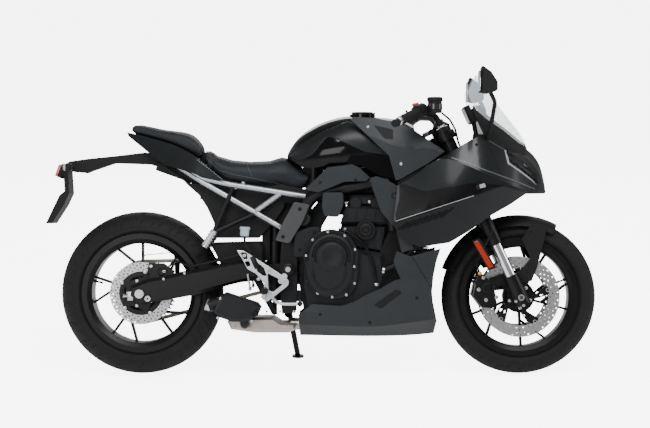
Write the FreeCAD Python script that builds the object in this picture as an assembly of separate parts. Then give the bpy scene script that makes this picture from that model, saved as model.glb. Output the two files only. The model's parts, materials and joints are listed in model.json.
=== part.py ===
import FreeCAD, Part
import math
import os

# Sport bike, modelled upright: X forward from the middle of the wheelbase, Y left, Z up from the road.
# At the end the whole bike leans on its side stand. Millimetres and degrees.

# Whole bike
WHEELBASE = 1465.0
HEIGHT = 1160.0
LEAN = 10.0
SEAM = 1.5
PANEL_WALL = 3.5
SMALL_BEVEL = 2.0
SEAT_GAP = 0.3
RUN_GAP = 5.0
OVERRUN = 20.0

# Wheels
FRONT_RADIUS = 299.9
FRONT_WIDTH = 120.0
FRONT_CROWN = 62.0
REAR_RADIUS = 314.9
REAR_WIDTH = 180.0
REAR_CROWN = 91.0
BEAD_RADIUS = 216.0
FLANGE_RADIUS = 231.0
FLANGE_WALL = 6.0
RIM_WINDOW_RADIUS = 192.0
FRONT_RIM_HALF = 46.0
REAR_RIM_HALF = 71.0
SPOKE_PAIRS = 5
SPOKE_WIDTH = 9.0
SPOKE_DEPTH_HUB = 40.0
SPOKE_DEPTH_RIM = 28.0
SPOKE_SPLAY = 30.0
SPOKE_APEX_RADIUS = 92.0
FRONT_SPOKE_START = 57.0
REAR_SPOKE_START = 18.0
AXLE_RADIUS = 12.5
BORE_CLEARANCE = 0.3
AXLE_CLEARANCE = 0.06
FRONT_AXLE_BORE = 7.0
FRONT_HUB_RADIUS = 30.0
FRONT_HUB_HALF = 58.0
REAR_HUB_RADIUS = 46.0
REAR_HUB_RIGHT = 78.0
REAR_HUB_LEFT = 88.0
HUB_PLATE_RADIUS = 62.0

# Brake discs
FRONT_DISC_RADIUS = 155.0
FRONT_DISC_INNER = 111.0
FRONT_DISC_WALL = 4.5
FRONT_DISC_Y = 65.5
REAR_DISC_RADIUS = 120.0
REAR_DISC_INNER = 82.0
REAR_DISC_WALL = 5.0
REAR_DISC_Y = 86.0
CARRIER_WALL = 6.0
CARRIER_ARMS = 5
CARRIER_ARM_WIDTH = 22.0
PAD_GAP = 2.5
FRONT_CALIPER_DEPTH = 62.0
REAR_CALIPER_DEPTH = 54.0
FRONT_CALIPER_OUTLINE_SHARES = ((0.388, 0.328), (0.402, 0.334), (0.430, 0.300), (0.438, 0.240),
                                (0.424, 0.222), (0.398, 0.225), (0.376, 0.262))
REAR_CALIPER_OUTLINE_SHARES = ((-0.478, 0.372), (-0.440, 0.371), (-0.412, 0.345), (-0.418, 0.318),
                               (-0.450, 0.332), (-0.482, 0.340))

REAR_BRACKET_SHARES = ((-0.470, 0.350), (-0.430, 0.350), (-0.420, 0.300), (-0.480, 0.300))
CALIPER_LUG_SHARES = ((0.420, 0.292), (0.480, 0.300), (0.470, 0.345), (0.418, 0.322))
CALIPER_LUG_WALL = 14.0

# Steering
RAKE = 25.0
FORK_OFFSET = 32.5
FORK_HALF_SPACING = 105.0
FORK_INNER_RADIUS = 20.5
FORK_OUTER_RADIUS = 27.0
FORK_OUTER_BOTTOM = 224.0
FORK_TOP = 717.0
LOWER_CLAMP_TOP = 505.0
UPPER_CLAMP_TOP = 700.0
CLAMP_HEIGHT = 32.0
CLAMP_WALL = 12.0
HEAD_TUBE_RADIUS = 34.0
STEM_RADIUS = 14.0
STEERING_RANGE = 28.0
AXLE_CLAMP_TOP = 92.0
AXLE_CLAMP_RADIUS = 29.0
AXLE_CLAMP_BOTTOM = -30.0
FRONT_AXLE_HALF = 132.0
BAR_RADIUS = 11.0
BAR_BEND = 40.0
GRIP_RADIUS = 17.0
GRIP_INNER_Y = 252.0
BAR_END_Y = 368.0
BAR_WEIGHT_RADIUS = 15.0
SWITCH_RADIUS = 26.0
SWITCH_LENGTH = 46.0
BAR_ROUTE_SHARES = ((0.291, 0.818), (0.276, 0.862), (0.226, 0.869), (0.169, 0.830))
BAR_ROUTE_Y = (105.0, 118.0, 240.0, 368.0)
BAR_FOOT_RADIUS = 32.0
LEVER_LENGTH = 150.0
LEVER_REACH = 48.0
LEVER_WALL = 9.0
RESERVOIR_RADIUS = 27.0
RESERVOIR_HEIGHT = 60.0
RESERVOIR_PLACE_SHARES = (0.270, 0.866)
RESERVOIR_Y = 222.0

# Front fender and hoses
FENDER_GAP = 15.0
FENDER_WALL = 3.0
FENDER_HALF = 70.0
FENDER_DROP = 40.0
FENDER_FRONT_ANGLE = 62.0
FENDER_REAR_ANGLE = 160.0
FENDER_STAY_WALL = 5.0
FENDER_STAY_SHARES = ((0.505, 0.452), (0.529, 0.500), (0.573, 0.490), (0.545, 0.356), (0.531, 0.312),
                      (0.503, 0.306), (0.486, 0.316), (0.488, 0.338), (0.506, 0.352), (0.528, 0.388))
FENDER_BOSS_SHARE = (0.494, 0.326)
FENDER_BOSS_RADIUS = 9.0
HOSE_RADIUS = 4.0
HOSE_BEND = 24.0
RIGHT_HOSE_SHARES = ((0.2883, 0.8659), (0.309, 0.845), (0.326, 0.815), (0.336, 0.770), (0.372, 0.680), (0.424, 0.480),
                     (0.3839, 0.3719), (0.3950, 0.3312))
RIGHT_HOSE_Y = (-217.0, -211.0, -150.0, -118.0, -133.6, -146.0, -86.0, -86.0)
LEFT_HOSE_SHARES = ((0.3545, 0.652), (0.368, 0.625), (0.424, 0.480), (0.3839, 0.3719), (0.3950, 0.3312))
LEFT_HOSE_Y = (148.0, 150.0, 146.0, 86.0, 86.0)
REAR_HOSE_SHARES = ((-0.158, 0.296), (-0.186, 0.388), (-0.240, 0.3985), (-0.367, 0.3605), (-0.4118, 0.3823),
                    (-0.4260, 0.3582))
REAR_HOSE_Y = (-157.8, -157.8, -138.0, -138.0, -108.0, -108.0)

# Frame
HEAD_TUBE_GAP = 0.4
SPAR_RADIUS = 23.0
SPAR_BEND = 90.0
SPAR_ROUTE_SHARES = ((0.297, 0.722), (0.225, 0.690), (0.110, 0.640), (-0.050, 0.600), (-0.100, 0.470))
SPAR_ROUTE_Y = (16.0, 96.0, 112.0, 104.0, 88.0)
LEG_RADIUS = 17.0
LEG_ROUTE_SHARES = ((0.150, 0.660), (0.150, 0.560), (0.163, 0.480))
LEG_ROUTE_Y = (112.0, 148.0, 154.0)
PIVOT_PLATE_Y = 78.0
PIVOT_PLATE_WALL = 15.0
PIVOT_PLATE_SHARES = ((-0.070, 0.585), (-0.050, 0.568), (-0.088, 0.440), (-0.088, 0.300), (-0.092, 0.207),
                      (-0.128, 0.203), (-0.134, 0.300), (-0.132, 0.400), (-0.128, 0.460))
PIVOT_CROSS_RADIUS = 16.0
PIVOT_CROSS_SHARES = ((-0.079, 0.530), (-0.110, 0.232))
SHOCK_BRACKET_SHARES = ((-0.074, 0.524), (-0.160, 0.530), (-0.160, 0.548), (-0.078, 0.543))
SHOCK_BRACKET_HALF = 24.0
TANK_POST_RADIUS = 9.0
TANK_POST_SHARES = ((0.060, 0.627), (-0.045, 0.602))
TANK_POST_TOP_SHARES = ((0.060, 0.700), (-0.045, 0.708))
TANK_POST_Y = (104.0, 94.0)
RADIATOR_BRACKET_RADIUS = 7.0
RADIATOR_BRACKET_SHARES = ((0.232, 0.690), (0.258, 0.600))
RADIATOR_BRACKET_Y = 98.0
ENGINE_BOSS_SHARES = ((-0.090, 0.396), (-0.086, 0.262))
ENGINE_BOSS_RADIUS = 18.0
LEG_BOSS_SHARE = (0.145, 0.530)
LEG_BOSS_RADIUS = 10.0

# Subframe
SUBFRAME_RADIUS = 11.0
SUBFRAME_BEND = 60.0
UPPER_RAIL_SHARES = ((-0.066, 0.594), (-0.262, 0.633), (-0.340, 0.655), (-0.450, 0.735))
UPPER_RAIL_Y = (104.0, 104.0, 92.0, 58.0)
LOWER_RAIL_SHARES = ((-0.112, 0.475), (-0.139, 0.497), (-0.336, 0.640), (-0.410, 0.700))
LOWER_RAIL_Y = (98.0, 104.0, 96.0, 74.0)
BRACE_SHARES = ((-0.196, 0.546), (-0.132, 0.602))
BRACE_Y = 104.0
CROSS_TUBE_SHARE = (-0.250, 0.628)
TAIL_TUBE_SHARE = (-0.440, 0.728)
SEAT_POST_SHARES = ((-0.230, 0.626), (-0.230, 0.680))
SEAT_POST_Y = 100.0
SEAT_POST_RADIUS = 8.0

# Engine
CRANKCASE_HALF = 138.0
CRANKCASE_BEVEL = 18.0
CRANKCASE_SHARES = ((-0.080, 0.420), (-0.082, 0.300), (-0.070, 0.215), (0.085, 0.205), (0.130, 0.250),
                    (0.148, 0.330), (0.140, 0.405), (0.010, 0.432))
CYLINDER_HALF = 112.0
CYLINDER_SHARES = ((0.012, 0.4320), (0.030, 0.5005), (0.150, 0.5005), (0.139, 0.4055))
HEAD_HALF = 126.0
HEAD_SHARES = ((0.026, 0.501), (0.040, 0.5622), (0.158, 0.5602), (0.158, 0.501))
HEAD_COVER_HALF = 114.0
HEAD_COVER_SHARES = ((0.044, 0.5624), (0.052, 0.600), (0.142, 0.598), (0.152, 0.5606))
HEAD_BEVEL = 10.0
CHAIN_POCKET_Y = 88.0
COVER_CENTRE_SHARE = (-0.005, 0.350)
CLUTCH_CENTRE_SHARE = (-0.004, 0.345)
CLUTCH_RADIUS = 92.0
CLUTCH_DEPTH = 46.0
CLUTCH_CAP_RADIUS = 64.0
CLUTCH_CAP_DEPTH = 14.0
COVER_EDGE = 9.0
GENERATOR_CENTRE_SHARE = (0.060, 0.335)
GENERATOR_RADIUS = 82.0
GENERATOR_DEPTH = 52.0
SPROCKET_COVER_SHARES = ((-0.105, 0.400), (-0.100, 0.310), (-0.045, 0.290), (-0.012, 0.330), (-0.018, 0.395),
                         (-0.060, 0.412))
SPROCKET_COVER_WALL = 16.0
AIRBOX_HALF = 72.0
AIRBOX_SHARES = ((-0.030, 0.612), (-0.026, 0.660), (0.150, 0.655), (0.155, 0.610), (0.138, 0.596), (0.060, 0.597),
                 (0.036, 0.606))
AIRBOX_BEVEL = 12.0
THROTTLE_HALF = 66.0
THROTTLE_SHARES = ((-0.022, 0.618), (0.060, 0.618), (0.060, 0.600), (0.036, 0.560), (0.022, 0.543), (-0.008, 0.532),
                   (-0.020, 0.560))
BREATHER_HALF = 52.0
BREATHER_SHARES = ((-0.082, 0.434), (-0.084, 0.475), (-0.066, 0.530), (-0.030, 0.580), (-0.010, 0.586),
                   (-0.006, 0.530), (-0.022, 0.495), (-0.030, 0.436))
BREATHER_BEVEL = 6.0
RADIATOR_CENTRE_SHARE = (0.245, 0.520)
RADIATOR_HALF = 138.0
RADIATOR_HEIGHT = 240.0
RADIATOR_WALL = 36.0
RADIATOR_TILT = 12.0
RADIATOR_TANK = 28.0
DUCT_Y = 116.0
DUCT_SHARES = ((0.130, 0.412), (0.160, 0.500), (0.200, 0.452), (0.206, 0.410), (0.214, 0.360), (0.210, 0.300),
               (0.128, 0.284))

# Exhaust
HEADER_RADIUS = 21.0
HEADER_BEND = 75.0
HEADER_SHARES = ((0.140, 0.528), (0.186, 0.508), (0.184, 0.240), (0.140, 0.170), (-0.105, 0.166))
HEADER_Y = 52.0
EXHAUST_BOX_HALF = 108.0
EXHAUST_BOX_SHARES = ((-0.090, 0.173), (-0.094, 0.150), (-0.110, 0.141), (-0.199, 0.141), (-0.262, 0.152),
                      (-0.272, 0.178), (-0.262, 0.192), (-0.150, 0.192), (-0.130, 0.175))
EXHAUST_BOX_BEVEL = 10.0
SILENCER_INNER_Y = 122.0
SILENCER_OUTER_Y = 212.0
SILENCER_SHARES = ((-0.272, 0.278), (-0.189, 0.244), (-0.180, 0.230), (-0.189, 0.202), (-0.221, 0.182),
                   (-0.256, 0.182), (-0.288, 0.196), (-0.304, 0.214), (-0.285, 0.268))
SILENCER_BEVEL = 9.0
SILENCER_TIP_SHARES = ((-0.290, 0.242), (-0.318, 0.232))
SILENCER_TIP_RADIUS = 24.0
SILENCER_TIP_WALL = 3.0
SILENCER_LINK_SHARES = ((-0.225, 0.170), (-0.225, 0.170), (-0.225, 0.200))
SILENCER_LINK_RADIUS = 16.0
SILENCER_LINK_BEND = 30.0

# Tank and seats
TANK_HALF = 140.0
TANK_STATION_SHARES = ((-0.114, 0.736, 0.42, 0.728, 0.48, 0.724, 0.44, 0.719),
                       (-0.080, 0.797, 0.56, 0.765, 0.68, 0.730, 0.60, 0.695),
                       (-0.030, 0.838, 0.70, 0.795, 0.88, 0.745, 0.74, 0.682),
                       (0.044, 0.864, 0.78, 0.826, 1.00, 0.765, 0.80, 0.678),
                       (0.120, 0.861, 0.78, 0.826, 1.00, 0.770, 0.80, 0.690),
                       (0.180, 0.853, 0.72, 0.820, 0.94, 0.770, 0.78, 0.705),
                       (0.222, 0.832, 0.60, 0.806, 0.78, 0.770, 0.66, 0.728))
TANK_FLANK_Y = 135.5
TANK_FLANK_SHARES = ((0.0387, 0.6938), (0.0573, 0.7444), (0.164, 0.7444), (0.1827, 0.6467), (0.1267, 0.6635),
                     (0.0787, 0.6972))
CAP_CENTRE_SHARE = (0.085, 0.8655)
CAP_RADIUS = 42.0
CAP_HEIGHT = 9.0
CAP_RING_RADIUS = 50.0
CAP_RING_HEIGHT = 5.0
CAP_RANGE = 85.0
CAP_HINGE_RADIUS = 4.0
CAP_PIN_RADIUS = 2.0
CAP_KNUCKLE_HALF = 8.0
CAP_EAR_WALL = 5.0
SHROUD_HALF = 178.0
SHROUD_STATION_SHARES = ((0.030, (0.62, 0.862), (0.78, 0.858), (0.84, 0.80), (0.84, 0.68)),
                         (0.110, (0.62, 0.864), (0.77, 0.858), (0.90, 0.79), (0.88, 0.63)),
                         (0.170, (0.60, 0.848), (0.77, 0.840), (0.97, 0.760), (0.93, 0.61)),
                         (0.235, (0.62, 0.812), (0.81, 0.804), (1.02, 0.748), (0.96, 0.60)),
                         (0.310, (0.66, 0.768), (0.885, 0.765), (1.01, 0.735), (0.98, 0.60)))
SHROUD_OUTLINE_SHARES = ((0.052, 0.848), (0.060, 0.856), (0.119, 0.853), (0.1775, 0.836), (0.212, 0.8185),
                         (0.298, 0.742), (0.256, 0.704), (0.182, 0.650), (0.170, 0.646), (0.152, 0.728))
PEG_BOSS_RADIUS = 6.0
SHROUD_PEG_SHARES = ((0.110, 0.790), (0.180, 0.755))
SIDE_COVER_PEG_SHARES = ((-0.020, 0.619), (0.020, 0.690))
SIDE_COVER_Y = 140.0
INNER_PANEL_Y = 170.0
INNER_PANEL_SHARES = ((0.1027, 0.6534), (0.1187, 0.6601), (0.1427, 0.650), (0.196, 0.613), (0.260, 0.5894),
                      (0.2387, 0.5557), (0.2173, 0.5524), (0.196, 0.522), (0.1747, 0.512), (0.1747, 0.4816),
                      (0.2093, 0.448), (0.2173, 0.421), (0.1853, 0.4075), (0.1693, 0.4884), (0.132, 0.5423),
                      (0.108, 0.6231))
SIDE_COVER_WALL = 7.0
SIDE_COVER_SHARES = ((-0.070, 0.615), (-0.030, 0.662), (-0.008, 0.690), (0.056, 0.700), (0.074, 0.690),
                     (0.104, 0.656), (0.094, 0.644), (0.035, 0.641), (0.000, 0.622), (-0.032, 0.606))
SEAT_HALF = 132.0
SEAT_STATION_SHARES = ((-0.326, 0.742, 0.66, 0.80, 0.715), (-0.300, 0.718, 0.78, 0.94, 0.672),
                       (-0.245, 0.706, 0.84, 1.00, 0.646), (-0.180, 0.708, 0.74, 0.92, 0.634),
                       (-0.136, 0.7255, 0.58, 0.80, 0.626), (-0.117, 0.712, 0.54, 0.74, 0.622),
                       (-0.080, 0.688, 0.44, 0.62, 0.618), (-0.054, 0.671, 0.36, 0.50, 0.650))
PILLION_HALF = 100.0
PILLION_STATION_SHARES = ((-0.532, 0.829, 0.34, 0.46, 0.800), (-0.470, 0.825, 0.52, 0.70, 0.778),
                          (-0.405, 0.812, 0.72, 0.92, 0.750), (-0.362, 0.796, 0.80, 1.00, 0.720),
                          (-0.336, 0.757, 0.86, 1.04, 0.722))

# Fairing
FAIRING_HALF = 225.0
FAIRING_STATION_SHARES = ((0.140, (0.0, 0.700), (0.72, 0.622), (0.80, 0.612), (0.86, 0.500), (0.80, 0.400)),
                          (0.235, (0.0, 0.750), (0.76, 0.690), (0.84, 0.678), (0.92, 0.543), (0.82, 0.400)),
                          (0.293, (0.0, 0.790), (0.78, 0.730), (0.86, 0.716), (0.95, 0.567), (0.82, 0.415)),
                          (0.381, (0.0, 0.850), (0.70, 0.800), (0.97, 0.680), (0.94, 0.602), (0.80, 0.480)),
                          (0.440, (0.0, 0.815), (0.58, 0.777), (0.90, 0.646), (0.89, 0.626), (0.74, 0.530)),
                          (0.490, (0.0, 0.775), (0.44, 0.744), (0.74, 0.622), (0.74, 0.612), (0.64, 0.565)),
                          (0.524, (0.0, 0.752), (0.32, 0.714), (0.56, 0.612), (0.56, 0.604), (0.48, 0.576)),
                          (0.5565, (0.0, 0.703), (0.17, 0.664), (0.28, 0.610), (0.28, 0.604), (0.24, 0.592)),
                          (0.571, (0.0, 0.632), (0.06, 0.626), (0.12, 0.612), (0.12, 0.606), (0.10, 0.598)))
FAIRING_OUTLINE_SHARES = ((0.175, 0.642), (0.292, 0.724), (0.386, 0.793), (0.410, 0.770), (0.452, 0.642),
                          (0.517, 0.607), (0.471, 0.568), (0.420, 0.532), (0.357, 0.477), (0.309, 0.441),
                          (0.235, 0.427), (0.203, 0.440), (0.171, 0.480), (0.163, 0.504))
NOSE_OUTLINE_SHARES = ((0.3863, 0.900), (0.3863, 0.7934), (0.4104, 0.7703), (0.4524, 0.6423), (0.5173, 0.6072),
                       (0.528, 0.604), (0.600, 0.604), (0.600, 0.900))
LAMP_OUTLINE_SHARES = ((0.455, 0.750), (0.480, 0.734), (0.512, 0.702), (0.538, 0.666), (0.545, 0.630),
                       (0.522, 0.652), (0.493, 0.678), (0.463, 0.702))
LAMP_RECESS = 5.0
SCREEN_WALL = 3.0
SCREEN_HALF = 150.0
SCREEN_STATION_SHARES = ((0.730, 0.528, 0.430, 0.86), (0.820, 0.4965, 0.392, 0.98), (0.900, 0.447, 0.368, 0.90),
                         (0.960, 0.413, 0.362, 0.66), (1.010, 0.386, 0.368, 0.40))
SCREEN_OUTLINE_SHARES = ((0.385, 1.003), (0.371, 0.970), (0.358, 0.934), (0.381, 0.880), (0.408, 0.850),
                         (0.454, 0.812), (0.494, 0.773), (0.512, 0.762), (0.560, 0.800), (0.450, 1.020))
COLLAR_OUTLINE_SHARES = ((0.372, 0.893), (0.392, 0.897), (0.412, 0.862), (0.458, 0.820), (0.505, 0.775),
                         (0.530, 0.765), (0.530, 0.700), (0.376, 0.700))
DASH_SHARES = ((0.352, 0.893), (0.366, 0.900), (0.386, 0.842), (0.372, 0.838))
DASH_HALF = 82.0
DASH_BEVEL = 5.0
STAY_RADIUS = 9.0
STAY_SHARES = ((0.340, 0.700), (0.400, 0.740), (0.455, 0.735))
STAY_Y = (0.0, 30.0, 62.0)
STAY_POST_TOP_SHARE = (0.452, 0.820)
DASH_MAST_SHARES = ((0.398, 0.738), (0.378, 0.860))
DASH_MAST_Y = 30.0
MIRROR_Y = 322.0
MIRROR_HALF = 62.0
MIRROR_OUTLINE_SHARES = ((0.386, 1.012), (0.408, 0.992), (0.424, 0.960), (0.424, 0.934), (0.400, 0.925),
                         (0.382, 0.930), (0.380, 0.972))
MIRROR_BEVEL = 8.0
MIRROR_STEM_RADIUS = 8.0
MIRROR_STEM_BEND = 30.0
MIRROR_STEM_SHARES = ((0.410, 0.766), (0.420, 0.850), (0.424, 0.900), (0.412, 0.930))
MIRROR_STEM_Y = (134.0, 205.0, 258.0, 270.0)

# Belly cowl
BELLY_HALF = 186.0
BELLY_STATION_SHARES = ((-0.090, (0.72, 0.270), (0.76, 0.210), (0.72, 0.170), (0.40, 0.132)),
                        (0.030, (0.92, 0.320), (0.88, 0.230), (0.78, 0.165), (0.40, 0.129)),
                        (0.130, (0.99, 0.440), (0.93, 0.280), (0.80, 0.165), (0.38, 0.128)),
                        (0.200, (1.00, 0.450), (0.95, 0.310), (0.80, 0.175), (0.34, 0.130)),
                        (0.292, (0.96, 0.450), (0.86, 0.320), (0.62, 0.190), (0.20, 0.140)))
BELLY_PEG_SHARES = ((0.000, 0.226), (0.100, 0.258))
BELLY_OUTLINE_SHARES = ((0.287, 0.422), (0.276, 0.379), (0.268, 0.328), (0.265, 0.278), (0.268, 0.244),
                        (0.279, 0.180), (0.272, 0.125), (-0.080, 0.125), (-0.084, 0.202), (-0.049, 0.238),
                        (0.027, 0.232), (0.059, 0.245), (0.087, 0.265), (0.127, 0.288), (0.169, 0.318),
                        (0.183, 0.321), (0.169, 0.358), (0.164, 0.382), (0.172, 0.413), (0.207, 0.396))

# Tail
TAIL_HALF = 125.0
TAIL_STATION_SHARES = ((-0.548, (0.0, 0.812), (0.28, 0.812), (0.26, 0.800)),
                       (-0.500, (0.0, 0.795), (0.50, 0.797), (0.46, 0.757)),
                       (-0.450, (0.0, 0.778), (0.68, 0.780), (0.62, 0.706)),
                       (-0.400, (0.0, 0.752), (0.84, 0.758), (0.80, 0.682)),
                       (-0.350, (0.0, 0.712), (0.98, 0.722), (0.94, 0.662)),
                       (-0.300, (0.0, 0.655), (1.00, 0.668), (0.98, 0.648)),
                       (-0.270, (0.0, 0.640), (1.00, 0.654), (0.99, 0.640)))
TAIL_OUTLINE_SHARES = ((-0.546, 0.830), (-0.536, 0.796), (-0.484, 0.743), (-0.439, 0.699), (-0.410, 0.689),
                       (-0.353, 0.667), (-0.321, 0.655), (-0.274, 0.645), (-0.296, 0.663), (-0.336, 0.714),
                       (-0.342, 0.727), (-0.395, 0.760), (-0.450, 0.783), (-0.505, 0.799), (-0.536, 0.812))
TAIL_PEG_SHARE = (-0.400, 0.700)
TAIL_PEG_Y = 72.0
TRAY_PEG_SHARE = (-0.268, 0.5900)
UNDERTAIL_HALF = 76.0
UNDERTAIL_WALL = 6.0
UNDERTAIL_PATH_SHARES = ((-0.303, 0.455), (-0.308, 0.507), (-0.326, 0.557), (-0.350, 0.604), (-0.387, 0.645),
                         (-0.442, 0.690))
UNDERTAIL_SIDE_SHARES = ((-0.384, 0.640), (-0.346, 0.597), (-0.322, 0.550), (-0.305, 0.502), (-0.300, 0.455),
                         (-0.190, 0.455), (-0.146, 0.515), (-0.122, 0.560), (-0.122, 0.586), (-0.250, 0.612),
                         (-0.330, 0.632))
TRAY_PATH_SHARES = ((-0.345, 0.590), (-0.240, 0.592), (-0.150, 0.585), (-0.112, 0.598))
HANGER_HALF = 34.0
HANGER_SHARES = ((-0.492, 0.742), (-0.564, 0.731), (-0.648, 0.720), (-0.692, 0.712), (-0.706, 0.702),
                 (-0.704, 0.682), (-0.648, 0.672), (-0.631, 0.681), (-0.573, 0.706), (-0.480, 0.702),
                 (-0.452, 0.690), (-0.446, 0.700), (-0.438, 0.734))
PLATE_HOLDER_HALF = 78.0
PLATE_HOLDER_SHARES = ((-0.706, 0.6805), (-0.702, 0.612), (-0.716, 0.598), (-0.752, 0.504), (-0.736, 0.504),
                       (-0.704, 0.566), (-0.690, 0.605), (-0.694, 0.6805))
HUGGER_HALF = 88.0
HUGGER_GAP = 12.0
HUGGER_BEVEL = 8.0
HUGGER_SHARES = ((-0.330, 0.424), (-0.306, 0.440), (-0.185, 0.444), (-0.176, 0.420), (-0.176, 0.366), (-0.182, 0.362),
                 (-0.252, 0.355), (-0.290, 0.370))
TAIL_LAMP_HALF = 40.0
TAIL_LAMP_SHARES = ((-0.7063, 0.704), (-0.728, 0.668), (-0.724, 0.655), (-0.7063, 0.660))
INDICATOR_PLACE_SHARE = (-0.690, 0.691)
INDICATOR_INNER_Y = 34.3
INDICATOR_POD_Y = 96.0
INDICATOR_LENGTH = 64.0
INDICATOR_RADIUS = 16.0
INDICATOR_STALK_RADIUS = 7.0

# Rear suspension and drive
SWINGARM_INNER_Y = 124.0
SWINGARM_WALL = 28.0
SWINGARM_SHARES = ((-0.168, 0.372), (-0.238, 0.382), (-0.367, 0.348), (-0.437, 0.329), (-0.479, 0.320),
                   (-0.524, 0.297), (-0.530, 0.262), (-0.500, 0.240), (-0.458, 0.245), (-0.409, 0.256),
                   (-0.357, 0.267), (-0.262, 0.301), (-0.168, 0.330))
SWINGARM_BEVEL = 12.0
BOBBIN_SHARE = (-0.478, 0.256)
BOBBIN_RADIUS = 4.0
BOBBIN_DEPTH = 14.0
BOBBIN_BOSS_RADIUS = 11.0
SWINGARM_CROSS_SHARES = ((-0.255, 0.306), (-0.258, 0.358), (-0.180, 0.366), (-0.175, 0.318))
PIVOT_SHARE = (-0.1115, 0.3525)
PIVOT_RADIUS = 28.0
PIVOT_HALF = 76.0
PIVOT_BOLT_RADIUS = 10.0
PIVOT_ARM_INNER_Y = 46.0
PIVOT_ARM_SHARES = ((-0.112, 0.371), (-0.182, 0.366), (-0.182, 0.322), (-0.112, 0.334))
REAR_AXLE_HALF = 168.0
AXLE_NUT_RADIUS = 17.0
AXLE_NUT_WALL = 13.0
CHAIN_PITCH = 15.875
CHAIN_Y = 108.0
CHAIN_INNER_GAP = 9.4
CHAIN_PLATE = 2.2
CHAIN_PLATE_HEIGHT = 14.5
CHAIN_ROLLER_RADIUS = 5.1
FRONT_TEETH = 17
REAR_TEETH = 47
SPROCKET_WALL = 7.8
TOOTH_HEIGHT = 5.2
TOOTH_ROOT_GAP = 0.6
FRONT_SPROCKET_SHARE = (-0.060, 0.349)
SPROCKET_CARRIER_RADIUS = 84.0
GUARD_WALL = 3.0
GUARD_SHARES = ((-0.190, 0.402), (-0.260, 0.408), (-0.420, 0.404), (-0.500, 0.394), (-0.508, 0.384))
GUARD_OUTER_Y = 128.0
GUARD_INNER_Y = 96.0
GUARD_BRACKET_SHARES = (((-0.250, 0.4085), (-0.272, 0.4085), (-0.266, 0.345), (-0.256, 0.345)),
                        ((-0.405, 0.4050), (-0.425, 0.4050), (-0.420, 0.310), (-0.410, 0.310)))
SHOCK_X_SHARE = -0.148
SHOCK_TOP_SHARE = 0.535
SHOCK_BOTTOM_SHARE = 0.205
SHOCK_SPRING_RADIUS = 33.0
SHOCK_BODY_RADIUS = 24.0
SHOCK_ROD_RADIUS = 9.0
SHOCK_LINK_SHARES = ((-0.141, 0.198), (-0.155, 0.198), (-0.206, 0.316), (-0.186, 0.320))
SHOCK_LINK_Y = 20.0
SHOCK_LINK_WALL = 7.0

# Footrests, rear brake parts and side stand
FOOTREST_Y = 162.0
FOOTREST_WALL = 9.0
FOOTREST_PLATE_SHARES = ((-0.243, 0.417), (-0.228, 0.421), (-0.191, 0.407), (-0.144, 0.353), (-0.106, 0.322),
                         (-0.109, 0.308), (-0.154, 0.263), (-0.166, 0.262), (-0.176, 0.290), (-0.186, 0.336),
                         (-0.213, 0.352))
FOOTREST_BOSS_RADIUS = 11.0
FOOTREST_BOSS_SHARES = ((-0.121, 0.330), (-0.130, 0.315))
PEG_SHARE = (-0.172, 0.283)
PEG_RADIUS = 11.0
PEG_LENGTH = 92.0
PEDAL_SHARES = ((-0.160, 0.275), (-0.135, 0.240), (-0.080, 0.240))
PEDAL_RADIUS = 6.0
PEDAL_PAD_LENGTH = 34.0
PILLION_BRACKET_RADIUS = 9.0
PILLION_BRACKET_SHARES = ((-0.257, 0.622), (-0.306, 0.474), (-0.203, 0.534))
PILLION_BRACKET_Y = 130.0
PILLION_PEG_SHARES = ((-0.303, 0.480), (-0.330, 0.428))
PILLION_PEG_RADIUS = 11.0
STAND_PIVOT_SHARE = (-0.113, 0.212)
STAND_PIVOT_Y = 118.0
STAND_FOOT_X_SHARE = -0.089
STAND_FOOT_Y = 258.0
STAND_RADIUS = 11.0
STAND_EYE_RADIUS = 15.0
STAND_EYE_HALF = 13.0
STAND_LUG_LENGTH = 26.0
STAND_PIN_RADIUS = 6.0
STAND_PIN_HEAD = 4.0
STAND_FOOT_RADIUS = 24.0
STAND_FOOT_WALL = 7.0
STAND_FOLDED_SHARES = (-0.980, 0.130, -0.150)

ORIGIN = FreeCAD.Vector(0, 0, 0)
FORWARD = FreeCAD.Vector(1, 0, 0)
ACROSS = FreeCAD.Vector(0, 1, 0)
UP = FreeCAD.Vector(0, 0, 1)
FRONT_AXLE = FreeCAD.Vector(WHEELBASE / 2, 0, FRONT_RADIUS)
REAR_AXLE = FreeCAD.Vector(-WHEELBASE / 2, 0, REAR_RADIUS)
FULL_TURN = 360.0


# Placing and shaping

def spot(shares, y=0.0):
    return FreeCAD.Vector(shares[0] * WHEELBASE, y, shares[1] * HEIGHT)


def spots(places, y=0.0):
    return [spot(place, y) for place in places]


def route(places, sides):
    return [spot(place, y) for place, y in zip(places, sides)]


def mirrored(shape):
    return shape.mirror(ORIGIN, ACROSS)


def both(shape):
    return [shape, mirrored(shape)]


def fused(shapes):
    return shapes[0].multiFuse(shapes[1:]).removeSplitter()


def prism(points, depth):
    return Part.Face(Part.makePolygon(points + points[:1])).extrude(ACROSS * depth)


def slab(places, y_from, y_to):
    return prism(spots(places, y_from), y_to - y_from)


def bevelled_slab(places, y_from, y_to, bevel):
    block = slab(places, y_from, y_to)
    rims = [edge for edge in block.Edges if edge.BoundBox.YLength < bevel]
    return block.makeChamfer(bevel, rims)


def cylinder(start, end, radius):
    return Part.makeCylinder(radius, (end - start).Length, start, end - start)


def cross_bar(centre, y_from, y_to, radius):
    start = FreeCAD.Vector(centre.x, y_from, centre.z)
    return Part.makeCylinder(radius, y_to - y_from, start, ACROSS)


def ring_bar(centre, y_from, y_to, radius, bore):
    return cross_bar(centre, y_from, y_to, radius).cut(cross_bar(centre, y_from, y_to, bore))


def unit(vector):
    return vector * (1.0 / vector.Length)


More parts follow.
